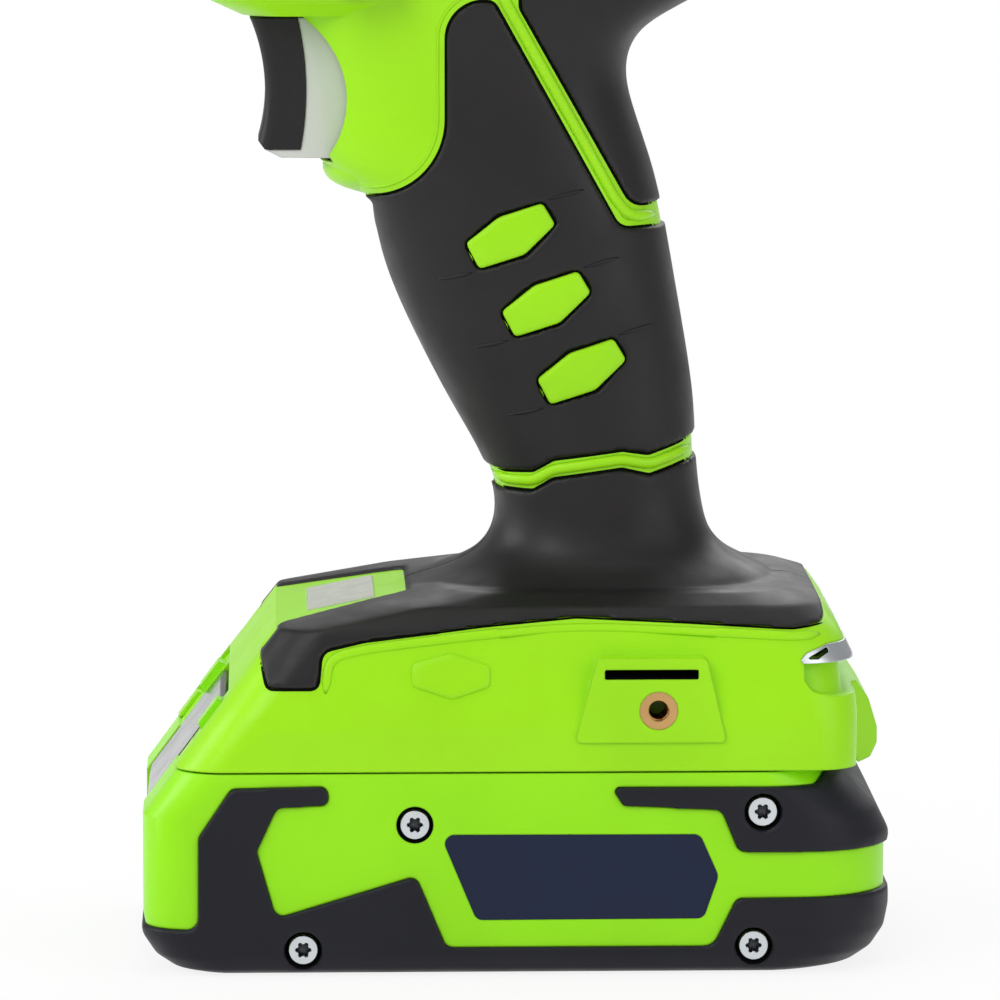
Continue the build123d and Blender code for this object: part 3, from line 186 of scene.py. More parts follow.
EDGE_STEP = 0.7
EDGE_SHADE_OFFSET = 0.18
EDGE_SHADE_SIZE = (0.5, 0.04)
EDGE_BEAD_OFFSET = 1.5
EDGE_BEAD_SIZE = (0.6, 0.12)

# Hexagon windows of the grip, the near-black strips of painted shade round them for the gaps, and the creases
# between them
HEXAGON = [(-7.7, 116.4), (-2.3, 121.1), (5.3, 123.3), (7.5, 119.6), (2.4, 114.3), (-5.4, 112.0)]
HEXAGON_STEP = (5.75, -11.1)
WINDOW_COUNT = 3
WINDOW_INSET = 0.45
WINDOW_PAD = {"corner": 0.7, "height": 0.95, "rim": 0.5, "dome": 0.1}
WINDOW_SCREWS = {0: (0.0, 117.6, 3.35), 2: (11.4, 95.5, 3.35)}
WINDOW_RADIUS = 1.2
WINDOW_SHADE_STEP = 0.5
WINDOW_SHADE_OFFSET = -0.25
WINDOW_SHADE_SIZE = (0.7, 0.06)
CREASES = [[(6.0, 123.6), (9.0, 124.4), (11.8, 125.1)], [(-6.2, 111.7), (-9.0, 111.0), (-12.0, 110.4)]]
CREASE_STEP = 0.8
CREASE_SIZE = (0.7, 0.16)

# Pad on the foot
EMBLEM = [(-10.3, 51.9), (-3.9, 49.9), (-3.9, 46.6), (-10.1, 44.6), (-16.6, 46.7), (-16.5, 50.3)]
EMBLEM_PAD = {"corner": 0.8, "height": 0.4, "rim": 0.35, "dome": 0.0}

# Screws: x and z, and for the housing the y of the seat
PACK_SCREWS = [(-16.1, 24.4), (-34.1, 4.1), (39.9, 26.3), (38.5, 4.5)]
HOUSING_SCREWS = [
    (0.0, 117.6, 15.2), (11.4, 95.5, 14.0), (-4.5, 160.2, 17.2), (-46.5, 159.4, 15.6), (22.0, 210.6, 12.8),
    (40.0, 51.4, 31.8), (-16.0, 50.4, 32.0),
]
# Painted shade in the screw recesses: profile of a near-black lining for each pack recess as radius and y,
# and dark discs on the socket floors as radius and two levels of y
RECESS_SHADE_PROFILE = [
    (2.98, -36.9), (2.98, -35.22), (2.34, -35.22), (2.34, -35.32), (2.90, -35.32), (2.90, -36.9),
]
RECESS_SHADE_STEPS = 28
SOCKET_STEPS = 20
PACK_SOCKET_SHADE_RADIUS = 1.3
PACK_SOCKET_SHADE_LEVELS = (-35.66, -35.5)
HOUSING_SOCKET_SHADE_RADIUS = 1.62
HOUSING_SOCKET_SHADE_LEVELS = (0.7, 0.86)

# Chin under the trigger: levels of z, x of the front and half width
CHIN_LEVELS = [
    (122.9, -21.5, 6.0), (123.5, -24.2, 7.6), (124.3, -26.9, 9.2), (125.0, -28.4, 10.6), (125.7, -29.4, 11.8),
    (126.5, -30.0, 12.7), (127.4, -30.35, 13.2), (128.3, -30.35, 13.4), (129.0, -30.1, 13.4),
]
CHIN_BACK = -16.0
CHIN_ROUNDING = 0.8
CHIN_STEPS = 36

# Belt-clip slots, as x, z and depth limits, the wall of their near-black lining of painted shade, and the
# threads of the inserts
CLIP_SLOT_LOW = (14.42, 47.92, 32.52)
CLIP_SLOT_HIGH = (29.48, 49.48, 37.2)
CLIP_SHADE_WALL = 0.08
BELT_INSERT = (23.1, 42.8)
THREAD_PITCH = 0.7
THREAD_TURNS = 9
THREAD_STEPS = 18
THREAD_START = 36.3
THREAD_SECTION = ((1.78, -0.32), (1.45, 0.0), (1.78, 0.32))

# Marks on the torque ring and the housing
HEAD_AXIS = 188.0
RING_RADIUS = 24.6
MARK_HEIGHT = 0.05
MARK_SUNK = 0.12
TICK_COUNT = 21
TICK_STEP = 15.0
TICK_WIDTH = 0.7
TICK_START = -58.8
TICK_SHORT_END = -61.8
TICK_LONG_END = -64.0
TICK_LONG_EVERY = 5
POINTER_ANGLE = math.radians(28)
POINTER_SPREAD = math.radians(3.2)
POINTER_TIP = -55.4
POINTER_BACK = -51.8

# Stage, in metres
FLOOR_HALF = 6.0
FLOOR_LEVEL = -0.0002
PAPER_COLOUR = (0.86, 0.86, 0.86, 1)
PAPER_GLOW = 1.0
PAPER_RISE = {"From Min": 0.05, "From Max": 0.24, "To Min": 0.86, "To Max": 1.0}
WORLD_DIM = {"Color": (0.8, 0.8, 0.8, 1), "Strength": 0.48}
WORLD_WHITE = {"Color": (1, 1, 1, 1), "Strength": 1.0}

# Soft lights: place, target, width and height, power in watts
LIGHTS = {
    "key": ((-0.55, -0.75, 0.80), (0, 0, 0.08), (0.7, 0.7), 5.2),
    "fill": ((0.75, -0.70, 0.45), (0, 0, 0.08), (0.7, 0.7), 2.4),
    "top": ((0.0, 0.15, 1.1), (0, 0, 0.08), (0.8, 0.8), 4.0),
    "left": ((-0.95, 0.10, 0.42), (-0.04, 0, 0.05), (0.5, 0.5), 3.5),
    "back": ((0.3, 0.9, 0.6), (0, 0, 0.1), (0.8, 0.6), 3.5),
}


def set_inputs(node, values):
    """Sets the named inputs of a shader node."""
    for name, value in values.items():
        node.inputs[name].default_value = value


def new_material(name):
    """Empty material with one Principled shader; returns material, tree and shader."""
    material = bpy.data.materials.new(name)
    material.use_nodes = True
    tree = material.node_tree
    return material, tree, tree.nodes["Principled BSDF"]


def noise(tree, scale, detail):
    """Noise texture in object space, with the scale in features per metre; returns its output."""
    place = tree.nodes.new("ShaderNodeTexCoord")
    texture = tree.nodes.new("ShaderNodeTexNoise")
    set_inputs(texture, {"Scale": scale, "Detail": detail})
    tree.links.new(place.outputs["Object"], texture.inputs["Vector"])
    return texture.outputs["Fac"]


def ramp(tree, source, low, high, span):
    """Colour ramp between two colours or greys; returns its output."""
    node = tree.nodes.new("ShaderNodeValToRGB")
    for element, place, value in zip(node.color_ramp.elements, span, (low, high)):
        element.position = place
        colour = value if isinstance(value, tuple) else (value, value, value)
        element.color = (*colour, 1.0)
    tree.links.new(source, node.inputs["Fac"])
    return node.outputs["Color"]


def tint(colour, factor):
    """Colour made lighter or darker."""
    return tuple(min(1.0, channel * factor) for channel in colour)


def moulded(name, colour, rough_low, rough_high, grain_scale, grain_height, drift, edge, shine):
    """Moulded plastic or rubber: slight colour drift, uneven gloss and a fine grain."""
    material, tree, shader = new_material(name)
    set_inputs(shader, {"Specular IOR Level": shine})
    pale = tint(colour, 1.0 + drift)
    base = ramp(tree, noise(tree, *DRIFT_NOISE), tint(colour, 1.0 - drift), pale, MIDDLE_SPAN)
    tree.links.new(base, shader.inputs["Base Color"])
    rough = ramp(tree, noise(tree, *GLOSS_NOISE), rough_low, rough_high, WIDE_SPAN)
    tree.links.new(rough, shader.inputs["Roughness"])
    bump = tree.nodes.new("ShaderNodeBump")
    set_inputs(bump, {"Strength": 1.0, "Distance": grain_height})
    tree.links.new(noise(tree, grain_scale, GRAIN_DETAIL), bump.inputs["Height"])
    if edge > 0:
        bevel = tree.nodes.new("ShaderNodeBevel")
        bevel.samples = BEVEL_SAMPLES
        set_inputs(bevel, {"Radius": edge})
        tree.links.new(bevel.outputs["Normal"], bump.inputs["Normal"])
    tree.links.new(bump.outputs["Normal"], shader.inputs["Normal"])
    return material


def metal(name, *surface):
    """Machined or plated metal with fine scratches in its gloss."""
    material = moulded(name, *surface, METAL_DRIFT, METAL_EDGE, METAL_SHINE)
    set_inputs(material.node_tree.nodes["Principled BSDF"], {"Metallic": 1.0})
    return material


def frosted_lens(name):
    """Pale lamp window that lets a little light through."""
    material, tree, shader = new_material(name)
    set_inputs(shader, {"Base Color": LENS_COLOUR, "Transmission Weight": LENS_TRANSMISSION, "IOR": LENS_IOR})
    rough = ramp(tree, noise(tree, *FROST_NOISE), *LENS_ROUGHNESS, MIDDLE_SPAN)
    tree.links.new(rough, shader.inputs["Roughness"])
    return material


def build_materials():
    """All materials by name."""
    made = {name: moulded(name, *surface) for name, surface in MOULDED_SURFACES.items()}
    for name, surface in METAL_SURFACES.items():
        made[name] = metal(name, *surface)
    made["lens"] = frosted_lens("lens")
    return made


def smooth_faces(mesh):
    """Shades every face of a mesh smooth."""
    for polygon in mesh.polygons:
        polygon.use_smooth = True


def placed(name, data):
    """New object in the scene."""
    item = bpy.data.objects.new(name, data)
    bpy.context.scene.collection.objects.link(item)
    return item


def weld(piece):
    """Modifier that joins the loose corners of a CAD mesh."""
    modifier = piece.modifiers.new("weld", "WELD")
    modifier.merge_threshold = WELD_GAP


def dress_nodes():
    """Gives every CAD node its material and smooth faces with sharp corners."""
    for part in frame["record"]["subparts"]:
        node = nodes[part["node"]]
        node.data.materials.clear()
        node.data.materials.append(materials[part["material_slot"]])
        smooth_faces(node.data)
        if "custom_normal" in node.data.attributes:
            node.data.attributes.remove(node.data.attributes["custom_normal"])
        weld(node)
        split = node.modifiers.new("split", "EDGE_SPLIT")
        split.split_angle = SHARP_ANGLE


def surface_tree(name):
    """Search tree over the faces of a CAD node."""
    mesh = nodes[name].data
    points = [vertex.co.copy() for vertex in mesh.vertices]
    return BVHTree.FromPolygons(points, [list(polygon.vertices) for polygon in mesh.polygons])


def on_side(tree, x, z, side):
    """Point and outward normal of the surface at x, z in millimetres, seen from one side."""
    start = Vector((x * MM, side * SIDE_RAY_START, z * MM))
    point, normal = tree.ray_cast(start, Vector((0, -side, 0)))[:2]
    if point is None:
        return None
    if normal.y * side < 0:
        normal = -normal
    return point, normal


def corner_curve(first, corner, last, steps):
    """Points of a rounded corner between two points on its arms."""
    shares = [step / steps for step in range(steps + 1)]
    return [first * (1 - t) ** 2 + corner * 2 * t * (1 - t) + last * t * t for t in shares]


def evenly(path, step, least_gap=0.0):
    """Path with points at about the given step; points closer than the least gap are left out."""
    even = [path[0]]
    for point in path[1:]:
        start = even[-1]
        gap = (point - start).length
        if gap < least_gap:
            continue
        count = max(1, round(gap / step))
        even += [start + (point - start) * (part + 1) / count for part in range(count)]
    return even


def smooth_path(points):
    """Path with rounded corners; a third value on a point overrides the radius."""
    rounded = [Vector(points[0][:2])]
    for before, corner, after in zip(points, points[1:], points[2:]):
        size = corner[2] if len(corner) > 2 else PATH_RADIUS
        here = Vector(corner[:2])
        back = Vector(before[:2]) - here
        ahead = Vector(after[:2]) - here
        reach = min(size, back.length * PATH_ARM_SHARE, ahead.length * PATH_ARM_SHARE)
        first = here + back.normalized() * reach
        last = here + ahead.normalized() * reach
        rounded += corner_curve(first, here, last, PATH_CORNER_STEPS)
    rounded.append(Vector(points[-1][:2]))
    return evenly(rounded, PATH_STEP, PATH_LEAST_GAP)


def filleted(points, step):
    """Open side-view path with true arcs at its corners; a third value on a point is the radius."""
    path = [Vector(points[0][:2])]
    for before, corner, after in zip(points, points[1:], points[2:]):
        here = Vector(corner[:2])
        back = (Vector(before[:2]) - here).normalized()
        ahead = (Vector(after[:2]) - here).normalized()
        radius = corner[2] if len(corner) > 2 else 0.0
        half = back.angle(ahead) / 2
        if radius <= 0 or half > STRAIGHT_HALF_ANGLE:
            path.append(here)
            continue
        centre = here + (back + ahead).normalized() * (radius / math.sin(half))
        reach = radius / math.tan(half)
        first = here + back * reach - centre
        sweep = first.angle_signed(here + ahead * reach - centre)
        count = max(FILLET_LEAST_STEPS, round(abs(sweep) * radius / step))
        for part in range(count + 1):
            turn = -sweep * part / count
            path.append(centre + Vector((first.x * math.cos(turn) - first.y * math.sin(turn),
                                         first.x * math.sin(turn) + first.y * math.cos(turn))))
    path.append(Vector(points[-1][:2]))
    return evenly(path, step)


def beside(path, amount):
    """Path moved to the left of its direction by the amount."""
    moved = []
    for index, point in enumerate(path):
        along = path[min(len(path) - 1, index + 1)] - path[max(0, index - 1)]
        moved.append(point + Vector((-along.y, along.x)).normalized() * amount)
    return moved


def closed_loop(outline, corner):
    """Closed outline with rounded corners as evenly spaced points."""
    count = len(outline)
    loop = []
    for index in range(count):
        before = Vector(outline[index - 1])
        here = Vector(outline[index])
        after = Vector(outline[(index + 1) % count])
        back = min(corner, (before - here).length * LOOP_ARM_SHARE)
        ahead = min(corner, (after - here).length * LOOP_ARM_SHARE)
        reach = min(back, ahead)
        first = here + (before - here).normalized() * reach
        last = here + (after - here).normalized() * reach
        loop += corner_curve(first, here, last, LOOP_CORNER_STEPS)
        following = after + (here - after).normalized() * ahead
        between = max(0, round((following - last).length / LOOP_STEP) - 1)
        loop += [last + (following - last) * (part + 1) / (between + 1) for part in range(between)]
    return loop


def shrunk(outline, amount):
    """Outline drawn in towards its middle by about the amount."""
    centre = sum((Vector(corner) for corner in outline), Vector((0, 0))) / len(outline)
    arms = [Vector(corner) - centre for corner in outline]
    return [tuple(centre + arm * (1 - amount / arm.length)) for arm in arms]


def moved_outline(outline, count):
    """Outline moved down the grip by a number of window steps."""
    return [(x + HEXAGON_STEP[0] * count, z + HEXAGON_STEP[1] * count) for x, z in outline]


def tube(rings, capped=True):
    """Skin over rings of equal length, closed at its ends unless told otherwise; returns points and faces."""
    size = len(rings[0])
    points = [point for ring in rings for point in ring]
    faces = []
    for row in range(len(rings) - 1):
        for column in range(size):
            following = (column + 1) % size
            faces.append([row * size + column, row * size + following,
                          (row + 1) * size + following, (row + 1) * size + column])
    if capped:
        faces.append(list(range(size)))
        faces.append([(len(rings) - 1) * size + column for column in range(size)])
    return points, faces


def joined(parts):
    """Several point and face lists as one."""
    points = []
    faces = []
    for part_points, part_faces in parts:
        start = len(points)
        points += part_points
        faces += [[start + index for index in face] for face in part_faces]
    return points, faces


def ridge(tree, path, width, height, side):
    """Rounded ridge along a side-view path on a surface; returns points and faces."""
    arch = [(across, share * height) for across, share in RIDGE_ARCH]
    profile = [(-0.5, -RIDGE_SUNK)] + arch + [(0.5, -RIDGE_SUNK)]
    rings = []
    hits = [on_side(tree, point.x, point.y, side) for point in path]
    kept = [hit for hit in hits if hit and abs(hit[1].y) > RIDGE_LEAST_FACING]
    for index, (point, normal) in enumerate(kept):
        before = kept[max(0, index - 1)][0]
        after = kept[min(len(kept) - 1, index + 1)][0]
        across = normal.cross((after - before).normalized()).normalized()
        from_end = min(index, len(kept) - 1 - index)
        taper = min(1.0, RIDGE_END_SHARE + from_end / RIDGE_END_STEPS)
        rings.append([point + across * (width * MM * place * taper) + normal * (lift * MM * taper)
                      for place, lift in profile])
    return tube(rings)


def raised_pad(tree, outline, side, corner, height, rim, dome, hole=None):
    """Low pad on a surface with a rounded rim and a slight dome; hole is x, z and radius of an opening."""
    loop = closed_loop(outline, corner)
    centre = sum(loop, Vector((0, 0))) / len(loop)
    reach = sum((point - centre).length for point in loop) / len(loop)
    levels = [(1.0, -PAD_SUNK), (1.0, height - rim),
              (1.0 - PAD_RIM_SHARE * rim / reach, height - PAD_RIM_SHARE * rim), (1.0 - rim / reach, height)]
    if hole:
        eye = Vector(hole[:2])
        inner = [eye + (point - eye).normalized() * hole[2] for point in loop]
        levels += [(0.5, height), (0.0, height), (0.0, -PAD_SUNK)]
    else:
        inner = [centre + (point - centre) * PAD_MIDDLE_SHARE for point in loop]
        levels += [(share, height + dome * rise) for share, rise in PAD_DOME_LEVELS]
    rings = []
    for share, lift in levels:
        ring = []
        for edge, middle in zip(loop, inner):
            place = middle + (edge - middle) * share
            point, normal = on_side(tree, place.x, place.y, side)
            ring.append(point + normal * (lift * MM))
        rings.append(ring)
    if hole:
        return tube(rings + [rings[0]], capped=False)
    return tube(rings)


def about_y(centre, radius, angle, y):
    """Point at a radius and an angle about an axis along y through x and z, from millimetres."""
    return Vector(((centre[0] + radius * math.cos(angle)) * MM, y * MM,
                   (centre[1] + radius * math.sin(angle)) * MM))


def turned_ring(centre, profile):
    """Closed ring about an axis along y, from points of radius and y; returns points and faces."""
    rings = []
    for step in range(RECESS_SHADE_STEPS):
        angle = 2 * math.pi * step / RECESS_SHADE_STEPS
        rings.append([about_y(centre, radius, angle, y) for radius, y in profile])
    return tube(rings + [rings[0]], capped=False)


def disc(centre, radius, *levels):
    """Thin round plate across y between two levels; returns points and faces."""
    angles = [2 * math.pi * step / SOCKET_STEPS for step in range(SOCKET_STEPS)]
    return tube([[about_y(centre, radius, angle, y) for angle in angles] for y in levels])


def tray(low, high, wall, side):
    """Thin lining of a pocket open to one side, from limits of x, z and depth; returns points and faces."""
    floor = low[2]
    mouth = high[2]
    rings = []
    for inset, depths in ((0.0, (floor, mouth)), (wall, (mouth, floor + wall))):
        corners = [(low[0] + inset, low[1] + inset), (high[0] - inset, low[1] + inset),
                   (high[0] - inset, high[1] - inset), (low[0] + inset, high[1] - inset)]
        for depth in depths:
            rings.append([Vector((x * MM, side * depth * MM, z * MM)) for x, z in corners])
    return tube(rings)


def toward_axis(tree, x, angle):
    """Point on a round body about the head axis, at x and an angle from the top, and the way out there."""
    outward = Vector((0, -math.sin(angle), math.cos(angle)))
    centre = Vector((x * MM, 0, HEAD_AXIS * MM))
    return tree.ray_cast(centre + outward * AXIS_RAY_START, -outward)[0], outward


def skin_patch(tree, outline):
    """Thin raised mark with corners given as x and angle on a round body; returns points and faces."""
    hits = [toward_axis(tree, x, angle) for x, angle in outline]
    rings = []
    for lift in (-MARK_SUNK, MARK_HEIGHT):
        rings.append([point + outward * (lift * MM) for point, outward in hits])
    return tube(rings)


def mesh_piece(name, points, faces, slot, body, material=None):
    """New mesh piece riding on a body, with the material named by its slot, or by the material when one is
    given.
    """
    mesh = bpy.data.meshes.new(name)
    mesh.from_pydata(points, [], faces)
    mesh.validate()
    shape = bmesh.new()
    shape.from_mesh(mesh)
    bmesh.ops.remove_doubles(shape, verts=shape.verts, dist=MERGE_GAP)
    bmesh.ops.recalc_face_normals(shape, faces=shape.faces)
    shape.to_mesh(mesh)
    shape.free()
    smooth_faces(mesh)
    piece = placed(name, mesh)
    mesh.materials.append(materials[material or slot])
    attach(piece, body)


def settled(piece):
    """Final mesh of a piece with its modifiers taken in."""
    bpy.context.view_layer.update()
    graph = bpy.context.evaluated_depsgraph_get()
    return bpy.data.meshes.new_from_object(piece.evaluated_get(graph))


def moulded_copy(node, slot, body):
    """Rubber piece in place of a CAD node: the same solid with rounded edges and a crisp middle seam."""
    piece = placed(node + "_rubber", nodes[node].data.copy())
    weld(piece)
    remesh = piece.modifiers.new("remesh", "REMESH")
    remesh.mode = "VOXEL"
    remesh.voxel_size = RUBBER_VOXEL * MM
    fine = settled(piece)
    piece.modifiers.clear()
    piece.data = fine
    free = piece.vertex_groups.new(name="free")
    for vertex in fine.vertices:
        freedom = (abs(vertex.co.y) / MM - SEAM_HALF) / SEAM_FADE
        free.add([vertex.index], max(0.0, min(1.0, freedom)), "REPLACE")
    smooth = piece.modifiers.new("smooth", "SMOOTH")
    smooth.factor = RUBBER_SMOOTHING
    smooth.iterations = RUBBER_ROUNDS
    smooth.vertex_group = "free"
    lighter = piece.modifiers.new("lighter", "DECIMATE")
    lighter.ratio = RUBBER_FACES_KEPT
    final = settled(piece)
    piece.modifiers.clear()
    piece.vertex_groups.clear()
    piece.data = final
    final.materials.clear()
    final.materials.append(materials[slot])
    smooth_faces(final)
    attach(piece, body)
    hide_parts(node)


def build_trim():
    """Green trim, near-black strips of painted shade in the gaps, and creases on both sides of the handle,
    and the pad on the foot.
    """
    beads = []
    windows = []
    gap_shades = []
    creases = []
    for side, node in ((-1, "housing_left"), (1, "housing_right")):
        tree = surface_tree(node)
        rubber = surface_tree(node.replace("housing", "grip"))
        for path, width, height in BEADS:
            beads.append(ridge(tree, smooth_path(path), width, height, side))
        for edge in RUBBER_EDGES:
            # Near-black strip beside each rubber edge: painted shade of the gap there
            gap_shades.append(ridge(tree, beside(filleted(edge, EDGE_STEP), EDGE_SHADE_OFFSET), *EDGE_SHADE_SIZE, side))
        grip_top = filleted(RUBBER_EDGES[0], EDGE_STEP)
        beads.append(ridge(tree, beside(grip_top, EDGE_BEAD_OFFSET), *EDGE_BEAD_SIZE, side))
        for index in range(WINDOW_COUNT):
            window = moved_outline(shrunk(HEXAGON, WINDOW_INSET), index)
            hole = WINDOW_SCREWS.get(index) if side > 0 else None
            windows.append(raised_pad(tree, window, side, **WINDOW_PAD, hole=hole))
            corners = [(x, z, WINDOW_RADIUS) for x, z in moved_outline(HEXAGON, index)]
            start = tuple((Vector(corners[-1][:2]) + Vector(corners[0][:2])) / 2)
            around = beside(filleted([start] + corners + [start], WINDOW_SHADE_STEP), WINDOW_SHADE_OFFSET)
            # Near-black strip round each window: painted shade of the gap there
            gap_shades.append(ridge(tree, around, *WINDOW_SHADE_SIZE, side))
            for crease in CREASES:
                line = filleted(moved_outline(crease, index), CREASE_STEP)
                creases.append(ridge(rubber, line, *CREASE_SIZE, side))
    emblem = raised_pad(surface_tree("housing_left"), EMBLEM, -1, **EMBLEM_PAD)
    mesh_piece("emblem_pad", *emblem, "green_plastic", "tool")
    mesh_piece("grip_creases", *joined(creases), "black_rubber", "tool")
    mesh_piece("rubber_gap_shade", *joined(gap_shades), "black_rubber", "tool", "gap_shadow")
    mesh_piece("handle_beads", *joined(beads), "green_plastic", "tool")
    mesh_piece("grip_windows", *joined(windows), "green_plastic", "tool")


def build_screw_details():
    """Painted shade: near-black linings of the screw recesses and dark discs on the floors of the star
    sockets.
    """
    shade_linings = [turned_ring(centre, RECESS_SHADE_PROFILE) for centre in PACK_SCREWS]
    mesh_piece("screw_recess_shade", *joined(shade_linings), "bumper_rubber", "pack", "gap_shadow")
    # Dark discs on the socket floors are painted shade in the star sockets
    socket_shades = [disc(centre, PACK_SOCKET_SHADE_RADIUS, *PACK_SOCKET_SHADE_LEVELS) for centre in PACK_SCREWS]
    mesh_piece("pack_socket_shade", *joined(socket_shades), "zinc_steel", "pack", "dark_steel")
    socket_shades = []
    for x, z, seat in HOUSING_SCREWS:
        levels = [seat + height for height in HOUSING_SOCKET_SHADE_LEVELS]
        socket_shades.append(disc((x, z), HOUSING_SOCKET_SHADE_RADIUS, *levels))
    mesh_piece("housing_socket_shade", *joined(socket_shades), "zinc_steel", "tool", "dark_steel")


def build_head_marks():
    """White setting ticks on the torque ring and a pointer on the housing."""
    ring = surface_tree("clutch_ring")
    half = TICK_WIDTH / 2 / RING_RADIUS
    ticks = []
    for step in range(TICK_COUNT):
        middle = POINTER_ANGLE + math.radians(TICK_STEP * step)
        end = TICK_LONG_END if step % TICK_LONG_EVERY == 0 else TICK_SHORT_END
        ticks.append(skin_patch(ring, [(TICK_START, middle - half), (TICK_START, middle + half),
                                       (end, middle + half), (end, middle - half)]))
    mesh_piece("torque_ticks", *joined(ticks), "grey_plastic", "clutch", "tick_white")
    corners = [(POINTER_TIP, POINTER_ANGLE), (POINTER_BACK, POINTER_ANGLE + POINTER_SPREAD),
               (POINTER_BACK, POINTER_ANGLE - POINTER_SPREAD)]
    pointer = skin_patch(surface_tree("housing_left"), corners)
    mesh_piece("torque_pointer", *pointer, "grey_plastic", "tool", "tick_white")


def build_insert_threads():
    """Screw threads in the belt-clip inserts."""
    threads = []
    for side in (-1, 1):
        rings = []
        for step in range(THREAD_TURNS * THREAD_STEPS + 1):
            angle = 2 * math.pi * step / THREAD_STEPS
            depth = THREAD_START - THREAD_PITCH * step / THREAD_STEPS
            rings.append([about_y(BELT_INSERT, radius, angle, side * (depth + lean))
                          for radius, lean in THREAD_SECTION])
        threads.append(tube(rings))
    mesh_piece("insert_threads", *joined(threads), "brass", "tool")


def build_guard_chin():
    """Rounded green chin under the trigger."""
    rings = []
    for height, front, half_width in CHIN_LEVELS:
        ring = []
        for step in range(CHIN_STEPS + 1):
            angle = math.pi * (step / CHIN_STEPS - 0.5)
            reach = max(0.0, math.cos(angle)) ** CHIN_ROUNDING
            ring.append(Vector(((CHIN_BACK + (front - CHIN_BACK) * reach) * MM,
                                half_width * math.sin(angle) * MM, height * MM)))
        rings.append(ring)
    mesh_piece("guard_chin", *tube(rings), "green_plastic", "tool")


def build_clip_slots():
    """Near-black linings of the belt-clip slots: painted shade on their walls and floors."""
    shade_linings = [tray(CLIP_SLOT_LOW, CLIP_SLOT_HIGH, CLIP_SHADE_WALL, side) for side in (-1, 1)]
    # The lining stands in for the shade deep in each slot
    mesh_piece("clip_slot_shade", *joined(shade_linings), "black_plastic", "tool", "gap_shadow")


def combined(tree, operation, first, second):
    """Two values put through a math node; returns its output."""
    node = tree.nodes.new("ShaderNodeMath")
    node.operation = operation
    tree.links.new(first, node.inputs[0])
    tree.links.new(second, node.inputs[1])
    return node.outputs[0]


def seen_by(tree, *rays):
    """Output that is 1 for the named kinds of light-path ray and 0 for others."""
    path = tree.nodes.new("ShaderNodeLightPath")
    seen = path.outputs[rays[0]]
    for ray in rays[1:]:
        seen = combined(tree, "MAXIMUM", seen, path.outputs[ray])
    return seen


def show_mix(tree, share, plain, seen, out):
    """Links a mix of two shaders to an output node."""
    mix = tree.nodes.new("ShaderNodeMixShader")
    tree.links.new(share, mix.inputs["Fac"])
    tree.links.new(plain, mix.inputs[1])
    tree.links.new(seen, mix.inputs[2])
    tree.links.new(mix.outputs["Shader"], out.inputs["Surface"])


def paper_material():
    """Pale paper that the camera sees as white away from the part."""
    paper = bpy.data.materials.new("paper")
    paper.use_nodes = True
    tree = paper.node_tree
    tree.nodes.clear()
    out = tree.nodes.new("ShaderNodeOutputMaterial")
    diffuse = tree.nodes.new("ShaderNodeBsdfDiffuse")
    set_inputs(diffuse, {"Color": PAPER_COLOUR})
    glow = tree.nodes.new("ShaderNodeEmission")
    set_inputs(glow, {"Strength": PAPER_GLOW})
    spot = tree.nodes.new("ShaderNodeNewGeometry")
    away = tree.nodes.new("ShaderNodeVectorMath")
    away.operation = "LENGTH"
    tree.links.new(spot.outputs["Position"], away.inputs[0])
    rise = tree.nodes.new("ShaderNodeMapRange")
    rise.interpolation_type = "SMOOTHSTEP"
    set_inputs(rise, PAPER_RISE)
    tree.links.new(away.outputs["Value"], rise.inputs["Value"])
    seen = seen_by(tree, "Is Camera Ray", "Is Glossy Ray", "Is Transmission Ray")
    share = combined(tree, "MULTIPLY", seen, rise.outputs["Result"])
    show_mix(tree, share, diffuse.outputs["BSDF"], glow.outputs["Emission"], out)
    return paper


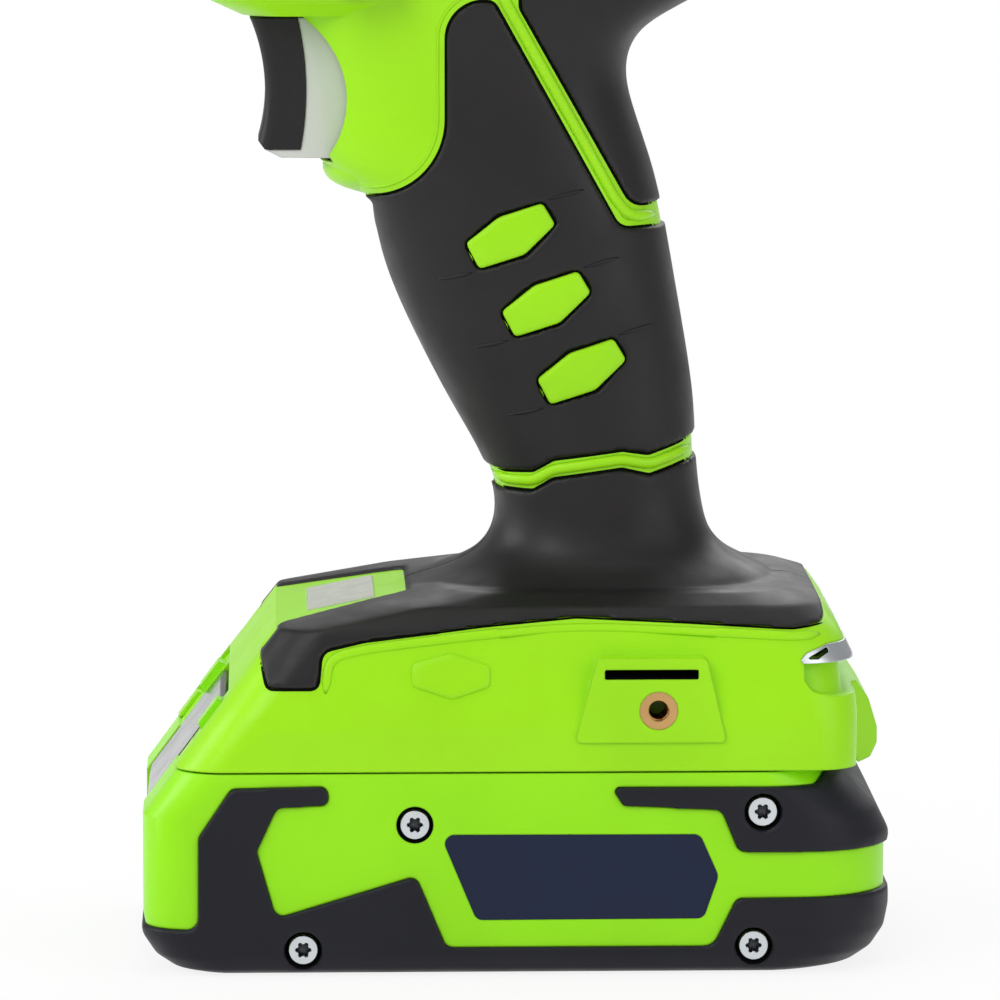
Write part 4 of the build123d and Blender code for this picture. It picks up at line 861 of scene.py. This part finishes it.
def build_floor():
    """Wide paper floor just under the part."""
    mesh = bpy.data.meshes.new("floor")
    corners = [(-FLOOR_HALF, -FLOOR_HALF, 0), (FLOOR_HALF, -FLOOR_HALF, 0),
               (FLOOR_HALF, FLOOR_HALF, 0), (-FLOOR_HALF, FLOOR_HALF, 0)]
    mesh.from_pydata(corners, [], [(0, 1, 2, 3)])
    floor = placed("floor", mesh)
    floor.location.z = FLOOR_LEVEL
    mesh.materials.append(paper_material())


def build_world():
    """Dim grey surroundings that the camera sees as white."""
    world = bpy.data.worlds.new("studio")
    bpy.context.scene.world = world
    world.use_nodes = True
    tree = world.node_tree
    tree.nodes.clear()
    out = tree.nodes.new("ShaderNodeOutputWorld")
    dim = tree.nodes.new("ShaderNodeBackground")
    set_inputs(dim, WORLD_DIM)
    white = tree.nodes.new("ShaderNodeBackground")
    set_inputs(white, WORLD_WHITE)
    seen = seen_by(tree, "Is Camera Ray", "Is Transmission Ray")
    show_mix(tree, seen, dim.outputs["Background"], white.outputs["Background"], out)


def aim(item, place, target):
    """Puts a light or camera in its place and turns it to its target."""
    item.location = place
    item.rotation_euler = (Vector(target) - Vector(place)).to_track_quat("-Z", "Y").to_euler()


def build_lights():
    """Soft rectangular lights round the part."""
    for name, (place, target, size, power) in LIGHTS.items():
        lamp = bpy.data.lights.new(name, "AREA")
        lamp.shape = "RECTANGLE"
        lamp.size, lamp.size_y = size
        lamp.energy = power
        aim(placed(name, lamp), place, target)


def build_camera():
    """Camera that stands where the photograph was taken."""
    data = bpy.data.cameras.new("camera")
    data.sensor_fit = "HORIZONTAL"
    data.sensor_width = CAMERA_SENSOR
    data.lens = CAMERA_LENS
    data.clip_end = CAMERA_FAR
    camera = placed("camera", data)
    aim(camera, CAMERA_PLACE, CAMERA_TARGET)
    bpy.context.scene.camera = camera


materials = build_materials()
dress_nodes()
for rubber_node, rubber_slot, rubber_body in RUBBER_NODES:
    moulded_copy(rubber_node, rubber_slot, rubber_body)
build_trim()
build_screw_details()
build_head_marks()
build_insert_threads()
build_guard_chin()
build_clip_slots()
build_floor()
build_world()
build_lights()
build_camera()
bpy.context.scene.view_settings.view_transform = "Standard"
